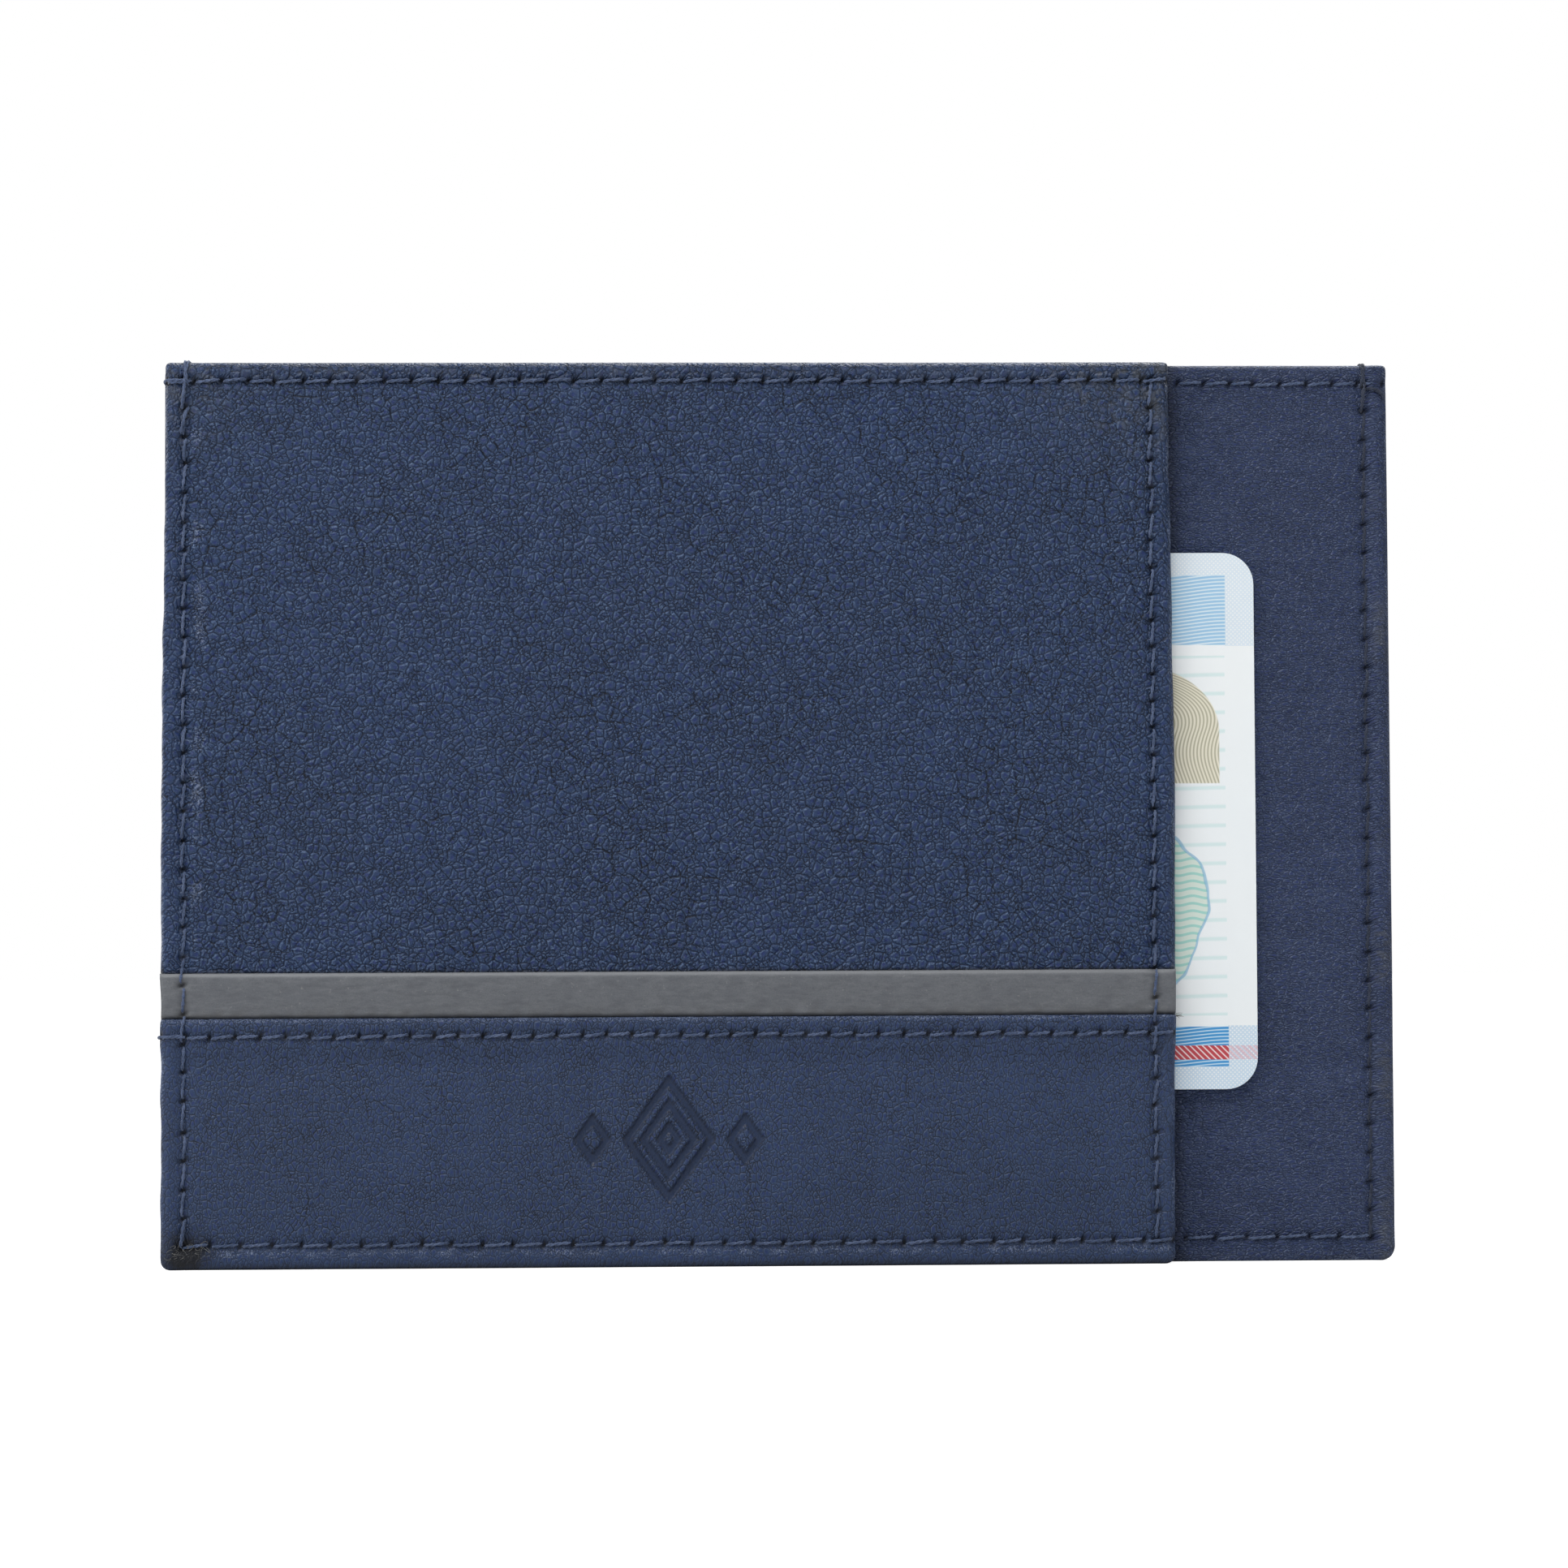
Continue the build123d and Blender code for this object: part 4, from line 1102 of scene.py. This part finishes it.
def leather(name, base, rim, pebble, relief, crack=0.5, stretch=(1, 1, 1), line_width=0.038, fold=1.0):
    """Grained leather. pebble is the cell size and relief the height of the grain, in millimetres; crack is
    the strength of the long creases, and fold how much they sink and darken with painted shade; rim is the
    colour of the painted highlight round each pebble."""
    s = Shader(name)
    place = s.millimetres(stretch)
    flat = s.unrolled(place)
    warped = s.shift(s.shift(flat, 0.9 / pebble, 0.5 * pebble), 2.4 / pebble, 0.1 * pebble)
    large = s.cells(warped, 1 / pebble)
    small = s.cells(warped, 1.9 / pebble)
    centre = s.cells(warped, 1 / pebble, "F1")
    blend = s.ramp(s.noise(flat, 0.75 / pebble, 2), 0.5, 0.56)
    edge = s.mix_value(blend, large, s.times(small, 0.62))
    winding = s.shift(s.shift(flat, 0.35, 1.6), 1.1, 0.5)
    long = s.cells(winding, 0.4)
    regions = s.ramp(s.noise(flat, 0.075, 2), 0.4, 0.6, 0.25, 1.0)
    smooth = s.mark("smooth")
    clear = s.less(1.0, s.times(smooth, 0.8))
    micro = s.noise(place, 6.5, 3, 0.65)
    patch = s.noise(place, 0.09, 3)
    vary = s.ramp(s.noise(place, 0.35, 2), 0.3, 0.7, 0.65, 1.0)

    dome = s.math("POWER", s.ramp(edge, 0.0, 0.3), 0.8)
    core = s.times(s.ramp(centre, 0.12, 0.26, 1.0, 0.0), s.less(1.0, s.times(blend, 0.7)))
    dome = s.less(dome, s.times(core, 0.12))
    ring = s.times(s.ramp(edge, 0.06, 0.13), s.ramp(edge, 0.15, 0.3, 1.0, 0.0))
    zone = s.times(s.times(s.ramp(long, 0.0, 0.07, 1.0, 0.0), regions), crack)
    reach = s.add(s.times(zone, 0.05 / pebble), line_width / pebble)
    line = s.less(1.0, s.math("DIVIDE", edge, reach))
    line = s.math("MULTIPLY", line, 1.6, clamp=True)
    crease = s.times(s.times(line, s.most(s.times(vary, 0.75), zone)), clear)

    height = s.add(s.times(dome, s.times(vary, clear)), s.times(micro, 0.2))
    height = s.less(height, s.times(crease, 0.3))
    height = s.less(height, s.times(s.times(zone, clear), 0.8 * fold))
    normal = s.bump(height, relief)

    tone = s.mix(s.ramp(patch, 0.35, 0.65), base, darker(base, 0.86))
    # Painted highlight: a lighter rim round each pebble, in the rim colour.
    pebble_highlight = s.times(s.times(ring, clear), s.ramp(micro, 0.38, 0.62, 0.0, 1.0))
    tone = s.mix(pebble_highlight, tone, rim)
    deep = (0.6 * base[0], 0.6 * base[1], 1.1 * base[2], 1)
    tone = s.mix(s.times(s.times(core, clear), 0.7), tone, deep)
    # Painted shade: darker along the long creases, and near-black in the fine creases between the pebbles.
    tone = s.mix(s.times(s.times(zone, clear), 0.3 * fold), tone, darker(base, 0.35))
    tone = s.mix(crease, tone, darker(base, 0.1))
    speck = s.ramp(s.add(micro, s.times(s.mark("wear_and_highlight"), 0.35)), 0.62, 0.78)
    wear_and_highlight = s.times(speck, s.ramp(s.mark("wear_and_highlight"), 0.0, 0.2))
    wear_and_highlight = s.times(wear_and_highlight, s.less(1.0, s.times(crease, 0.8)))
    tone = s.mix(s.math("MULTIPLY", wear_and_highlight, 0.75, clamp=True), tone, rgb(128, 140, 166))
    # Painted highlight: whitish where the mark goes past 1, along the top edges.
    tone = s.mix(s.math("SUBTRACT", s.mark("wear_and_highlight"), 1.0, clamp=True), tone, rgb(200, 208, 220))
    soil_and_shade = s.times(s.mark("soil_and_shade"), s.ramp(s.noise(place, 1.1, 4, 0.65), 0.36, 0.6))
    tone = s.mix(s.times(soil_and_shade, 0.7), tone, rgb(84, 88, 94))
    # Painted shade from the vertex mark: needle holes, seam furrows, the ornament's grooves, the bottom
    # edge, lines where parts lap and puckers by the pocket mouth; also a dark patch at a frayed corner.
    tone = s.mix(s.math("MULTIPLY", s.mark("painted_shade"), 0.95, clamp=True), tone, rgb(6, 8, 14))
    rough = s.add(s.times(micro, 0.2), 0.38)
    rough = s.less(rough, s.times(smooth, 0.06))
    return s.surface(tone, rough, normal, 0.42)


def coated_leather():
    """The stripe: smooth grey coating with a fine speckle and scuffs, a painted highlight on its folded top
    edge, and painted shade at its foot under the band's lip and in its needle holes.
    """
    s = Shader("grey_coated_leather")
    place = s.millimetres()
    fine = s.noise(place, 7.0, 4, 0.65)
    cloud = s.noise(place, 0.35, 3)
    dots = s.ramp(s.noise(place, 2.6, 2, 0.7), 0.66, 0.74)
    tone = s.mix(s.ramp(cloud, 0.3, 0.7), rgb(108, 111, 116), rgb(101, 104, 110))
    tone = s.mix(s.times(s.ramp(fine, 0.45, 0.65), 0.6), tone, rgb(92, 95, 99))
    streaks = s.noise(s.millimetres((0.3, 1, 1)), 2.4, 4, 0.65)
    tone = s.mix(s.times(s.ramp(streaks, 0.48, 0.66), 0.3), tone, rgb(76, 79, 84))
    tone = s.mix(s.times(s.ramp(streaks, 0.46, 0.34), 0.22), tone, rgb(130, 132, 136))
    tone = s.mix(s.times(dots, 0.4), tone, rgb(150, 150, 150))
    # Painted shade: a mottled darker grey just above the band's top fold.
    tone = s.mix(s.times(s.mark("soil_and_shade"), 0.55), tone, rgb(84, 84, 84))
    # Painted highlight: a light line along the folded top edge.
    tone = s.mix(s.times(s.mark("wear_and_highlight"), 0.6), tone, rgb(150, 152, 155))
    # Painted shade: the needle holes, and the foot of the stripe under the band's lip.
    tone = s.mix(s.math("MULTIPLY", s.mark("painted_shade"), 0.9, clamp=True), tone, rgb(18, 19, 24))
    wrinkle = s.noise(s.millimetres((0.5, 1, 2.2)), 1.6, 3, 0.6, 0.6)
    height = s.add(s.times(fine, 0.35), s.times(wrinkle, 0.65))
    return s.surface(tone, s.add(s.times(fine, 0.2), 0.42), s.bump(height, 0.05), 0.45)


def thread_material():
    """Twisted polyester: bluish, with fine fibres and darker hollows between the plies."""
    s = Shader("navy_thread")
    place = s.millimetres()
    fibre = s.noise(place, 9.0, 3, 0.6, 1.2)
    patch = s.noise(place, 0.7, 2)
    tone = s.mix(s.ramp(patch, 0.35, 0.65), rgb(66, 84, 118), rgb(92, 108, 142))
    tone = s.mix(s.ramp(fibre, 0.45, 0.72), tone, rgb(34, 44, 70))
    # Painted shade, over a whole thread where it is asked for (the right seam).
    tone = s.mix(s.mark("painted_shade"), tone, rgb(18, 22, 34))
    tone = s.mix(s.mark("pale"), tone, rgb(118, 118, 116))
    rough = s.add(s.times(fibre, 0.2), 0.5)
    return s.surface(tone, rough, s.bump(fibre, 0.06), 0.4, Sheen_Weight=0.3, Sheen_Roughness=0.4)


def board_material():
    s = Shader("stiffener_board")
    place = s.millimetres()
    pulp = s.noise(place, 2.5, 4, 0.6)
    tone = s.mix(pulp, rgb(176, 168, 154), rgb(150, 142, 128))
    return s.surface(tone, 0.9, s.bump(pulp, 0.05), 0.2)


def lining_material():
    """Fine twill: diagonal ribs crossed by the weft."""
    s = Shader("navy_lining_cloth")
    place = s.millimetres()
    split = s.node("SeparateXYZ", {0: place})
    diagonal = s.add(split.outputs["X"], split.outputs["Z"])
    rib = s.sine(s.times(diagonal, 2 * math.pi / 0.55))
    weft = s.sine(s.times(split.outputs["Z"], 2 * math.pi / 0.3))
    height = s.add(s.times(rib, 0.35), s.times(weft, 0.15))
    # Painted shade: darker in the hollows of the weave, lighter on the ribs.
    tone = s.mix(s.ramp(height, -0.4, 0.4), rgb(22, 25, 36), rgb(44, 49, 66))
    return s.surface(tone, 0.85, s.bump(height, 0.04), 0.2, Sheen_Weight=0.2)


PRINT_START, PRINT_END = 2.9, 82.7  # the card's printed blocks, from its right edge
HEAD_BLOCK, FOOT_BLOCK, RED_BAND = (2.3, 9.3), (47.7, 51.7), (49.6, 51.0)  # from its top edge


def card_material():
    """A generic printed card: pale ground, fine wave lines, dotted margins and two plain ornaments."""
    s = Shader("card_print")
    place = s.millimetres()
    split = s.node("SeparateXYZ", {0: place})
    x = s.less(CARD[0][1], split.outputs["X"])
    z = s.less(CARD[2][1], split.outputs["Z"])
    sway = s.times(s.sine(s.times(x, 0.55)), 0.25)

    def lines(value, pitch, width, soft=0.12):
        """Thin lines where value crosses multiples of pitch."""
        phase = s.math("FRACT", s.math("DIVIDE", value, pitch))
        distance = s.times(s.math("ABSOLUTE", s.less(phase, 0.5)), pitch)
        return s.ramp(distance, width * (0.5 - soft), width * (0.5 + soft) + 0.03, 1.0, 0.0)

    def between(value, low, high):
        past_low = s.ramp(value, low - 0.02, low + 0.02)
        return s.times(past_low, s.ramp(value, high - 0.02, high + 0.02, 1.0, 0.0))

    tone = s.mix(s.noise(place, 0.08, 2), rgb(252, 255, 255), rgb(246, 252, 255))
    body = s.times(between(x, PRINT_START + 0.1, PRINT_END - 0.1), between(z, 10.4, 46.6))
    faint = lines(s.add(z, s.times(sway, 0.2)), 1.9, 0.34, 0.3)
    tone = s.mix(s.times(s.times(faint, body), 0.5), tone, rgb(200, 234, 232))
    slant = lines(s.add(x, z), 0.42, 0.2)
    counter = lines(s.less(x, z), 0.42, 0.2)
    dots = s.most(s.times(slant, 0.6), s.times(counter, 0.6))
    ends = s.most(between(z, -0.1, 9.4), between(z, 47.6, 54.2))
    margin = s.times(ends, s.most(between(x, 0.0, 2.95), between(x, 82.7, 85.6)))
    margin = s.most(margin, s.most(between(z, -0.1, 2.3), between(z, 51.7, 54.2)))
    strength = s.ramp(z, 20.0, 40.0, 0.42, 0.7)
    tone = s.mix(s.times(s.times(dots, margin), strength), tone, rgb(128, 186, 228))
    columns = between(x, PRINT_START, PRINT_END)
    block = s.times(columns, between(z, *HEAD_BLOCK))
    arch = s.times(s.sine(s.add(s.times(x, 0.42), 0.4)), 0.34)
    wave = lines(s.add(z, arch), 0.36, 0.19)
    tone = s.mix(block, tone, s.mix(s.times(wave, 0.65), rgb(228, 242, 251), rgb(104, 184, 230)))
    foot_block = s.times(columns, between(z, *FOOT_BLOCK))
    foot_wave = lines(s.add(z, s.times(arch, 0.8)), 0.34, 0.2)
    tone = s.mix(foot_block, tone, s.mix(s.times(foot_wave, 0.95), rgb(208, 234, 249), rgb(48, 150, 216)))
    red_band = between(z, *RED_BAND)
    slash = lines(s.add(x, z), 0.62, 0.42)
    red = s.mix(s.times(slash, 0.95), rgb(250, 232, 234), rgb(196, 40, 56))
    faded = s.times(s.times(red_band, slash), 0.4)
    tone = s.mix(faded, tone, rgb(232, 130, 140))
    tone = s.mix(s.times(red_band, foot_block), tone, red)
    tone = beige_arch(s, tone, x, z, lines)
    tone = green_blob(s, tone, place, x, z)
    gloss = s.noise(place, 1.2, 2)
    return s.surface(tone, s.add(s.times(gloss, 0.06), 0.3), s.bump(gloss, 0.01), 0.45)


def beige_arch(s, tone, x, z, lines):
    """A rounded beige panel filled with nested curved lines."""
    from_centre = s.less(x, 12.0)
    dx = s.math("DIVIDE", from_centre, 8.4)
    dz = s.math("DIVIDE", s.most(s.less(18.0, z), 0.0), 6.6)
    reach = s.math("SQRT", s.add(s.times(dx, dx), s.times(dz, dz)))
    inside = s.times(s.ramp(reach, 0.99, 1.01, 1.0, 0.0), s.ramp(z, 23.2, 23.3, 1.0, 0.0))
    swirl = s.add(s.times(reach, 8.4), s.times(s.sine(s.times(z, 0.7)), 0.5))
    curve = lines(swirl, 0.36, 0.13)
    fill = s.mix(s.times(curve, 0.75), rgb(238, 234, 216), rgb(166, 160, 132))
    return s.mix(inside, tone, fill)


def green_blob(s, tone, place, x, z):
    """A soft pale green shape with a thin blue outline."""
    wobble = s.noise(place, 0.16, 2)
    dx = s.math("DIVIDE", s.less(x, 11.5), 6.4)
    dz = s.math("DIVIDE", s.less(z, 36.0), 8.2)
    reach = s.math("SQRT", s.add(s.times(dx, dx), s.times(dz, dz)))
    reach = s.add(reach, s.times(s.less(wobble, 0.5), 0.5))
    inside = s.ramp(reach, 0.98, 1.0, 1.0, 0.0)
    bend = s.times(s.sine(s.times(x, 2.2)), 0.12)
    wave = s.sine(s.times(s.add(z, bend), 2 * math.pi / 0.75))
    fill = s.mix(s.ramp(wave, 0.2, 0.7), rgb(222, 236, 226), rgb(170, 222, 212))
    tone = s.mix(inside, tone, fill)
    rim = s.ramp(s.math("ABSOLUTE", s.less(reach, 1.0)), 0.012, 0.028, 1.0, 0.0)
    return s.mix(s.times(rim, 0.65), tone, rgb(100, 176, 214))


# ---- put it together -------------------------------------------------------------------------------------
def give(node, material):
    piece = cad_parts[node]
    piece.data.materials.clear()
    piece.data.materials.append(material)


def dress():
    upright, level = (1.25, 1, 0.9), (0.55, 1, 1.3)  # which way the grain's cells are drawn out
    # The second colour given to each leather is the colour of its painted highlight round the pebbles.
    pebbled = leather("navy_pebbled_leather", rgb(32, 55, 95), rgb(88, 111, 146), 0.86, 0.3, 1.0)
    band_tones, fine_tones = (rgb(42, 61, 97), rgb(64, 84, 116)), (rgb(41, 57, 94), rgb(86, 100, 130))
    band = leather("navy_band_leather", *band_tones, 0.66, 0.07, 0.9, upright, 0.064, 0.6)
    fine = leather("navy_fine_leather", *fine_tones, 0.46, 0.13, 0.2, level, 0.014, 0.4)
    thread = thread_material()
    finish_piece(front_upper_panel(), "front_upper_panel", pebbled)
    finish_piece(front_lower_band(), "front_lower_band", band)
    finish_piece(front_accent_stripe(), "front_accent_stripe", coated_leather())
    finish_piece(rear_inner_panel(), "rear_inner_panel", fine)
    finish_piece(back_top_strip(), "back_top_strip", fine)
    for k in SLOTS:
        finish_piece(slot_leather(k), f"slot_{k}_strip", fine)
    finish_piece(slot_leather(4), "slot_4_panel", pebbled)
    makers = {
        "top_seam_thread": top_seam_thread,
        "bottom_seam_thread": bottom_seam_thread,
        "left_seam_thread": left_seam_thread,
        "right_seam_thread": right_seam_thread,
        "mouth_seam_thread": mouth_seam_thread,
        "band_seam_thread": band_seam_thread,
    }
    for node, make in makers.items():
        finish_piece(make(), node, thread)
    for k in ALL_SLOTS:
        finish_piece(slot_mouth_thread(k), f"slot_{k}_mouth_thread", thread)
    board, lining = board_material(), lining_material()
    give("front_stiffener", board)
    give("rear_stiffener", board)
    give("front_pocket_lining", lining)
    give("back_base_lining", lining)
    for k in SLOTS:
        finish_piece(slot_tail(k), f"slot_{k}_tail", lining)
        give(f"slot_{k}_floor_thread", thread)
    give("sample_card", card_material())


# ---- floor, light and camera -----------------------------------------------------------------------------
def floor():
    size = 3000.0
    corners = [(-size, -size, 0), (size, -size, 0), (size, size, 0), (-size, size, 0)]
    piece = new_mesh("floor", corners, [(0, 1, 2, 3)])
    s = Shader("pale_floor")
    seen = s.node("LightPath").outputs["Is Camera Ray"]
    grain = s.noise(s.millimetres(), 0.02, 2)
    tone = s.mix(grain, (0.80, 0.80, 0.80, 1), (0.76, 0.76, 0.76, 1))
    reach = s.node("VectorMath", {0: s.millimetres()}, operation="LENGTH").outputs["Value"]
    glow = s.times(seen, s.ramp(reach, 120, 420, 0.86, 1.05))
    shade = s.surface(tone, 0.8, None, 0.0, Emission_Color=(1, 1, 1, 1), Emission_Strength=glow)
    piece.data.materials.append(shade)


def area_light(name, place, size, power):
    """A soft box aimed at the middle of the holder."""
    target = (0, 0, TOP / 2)
    light = bpy.data.lights.new(name, "AREA")
    light.shape = "RECTANGLE"
    light.size, light.size_y = (length * MM for length in size)
    light.energy = power
    lamp = bpy.data.objects.new(name, light)
    lamp.location = Vector(place) * MM
    lamp.rotation_euler = (Vector(target) - Vector(place)).to_track_quat("-Z", "Y").to_euler()
    bpy.context.scene.collection.objects.link(lamp)


def surroundings():
    """White to the camera, and a softer white for lighting."""
    world = bpy.data.worlds.new("studio")
    bpy.context.scene.world = world
    world.use_nodes = True
    tree = world.node_tree
    tree.nodes.clear()
    path = tree.nodes.new("ShaderNodeLightPath")
    mix = tree.nodes.new("ShaderNodeMixShader")
    output = tree.nodes.new("ShaderNodeOutputWorld")
    tree.links.new(path.outputs["Is Camera Ray"], mix.inputs[0])
    for socket, strength, colour in ((1, 0.22, (0.96, 0.98, 1, 1)), (2, 1.0, (1, 1, 1, 1))):
        background = tree.nodes.new("ShaderNodeBackground")
        background.inputs["Strength"].default_value = strength
        background.inputs["Color"].default_value = colour
        tree.links.new(background.outputs[0], mix.inputs[socket])
    tree.links.new(mix.outputs[0], output.inputs["Surface"])


def lights():
    surroundings()
    wide, tall = (420, 220), (260, 320)
    area_light("key", (-120, -260, 480), wide, 1.75)
    area_light("left", (-480, -260, 160), tall, 0.62)
    area_light("right", (480, -300, 160), tall, 0.42)
    area_light("back_key", (120, 300, 460), wide, 1.7)
    area_light("back_fill", (-360, 460, 160), tall, 0.6)


def camera():
    data = bpy.data.cameras.new("camera")
    data.sensor_width = 36.0
    data.lens = 88.6
    piece = bpy.data.objects.new("camera", data)
    distance, roll = 385.1, -0.266
    place = Vector((-10.1, FRONT_FACE - distance, 32.46))
    target = Vector((0.34, FRONT_FACE, 48.04))
    tilt = Quaternion((0, 0, 1), math.radians(roll))
    piece.rotation_mode = "QUATERNION"
    piece.rotation_quaternion = (target - place).to_track_quat("-Z", "Y") @ tilt
    piece.location = place * MM
    bpy.context.scene.collection.objects.link(piece)
    bpy.context.scene.camera = piece


dress()
floor()
lights()
camera()
bpy.context.scene.view_settings.view_transform = "Standard"
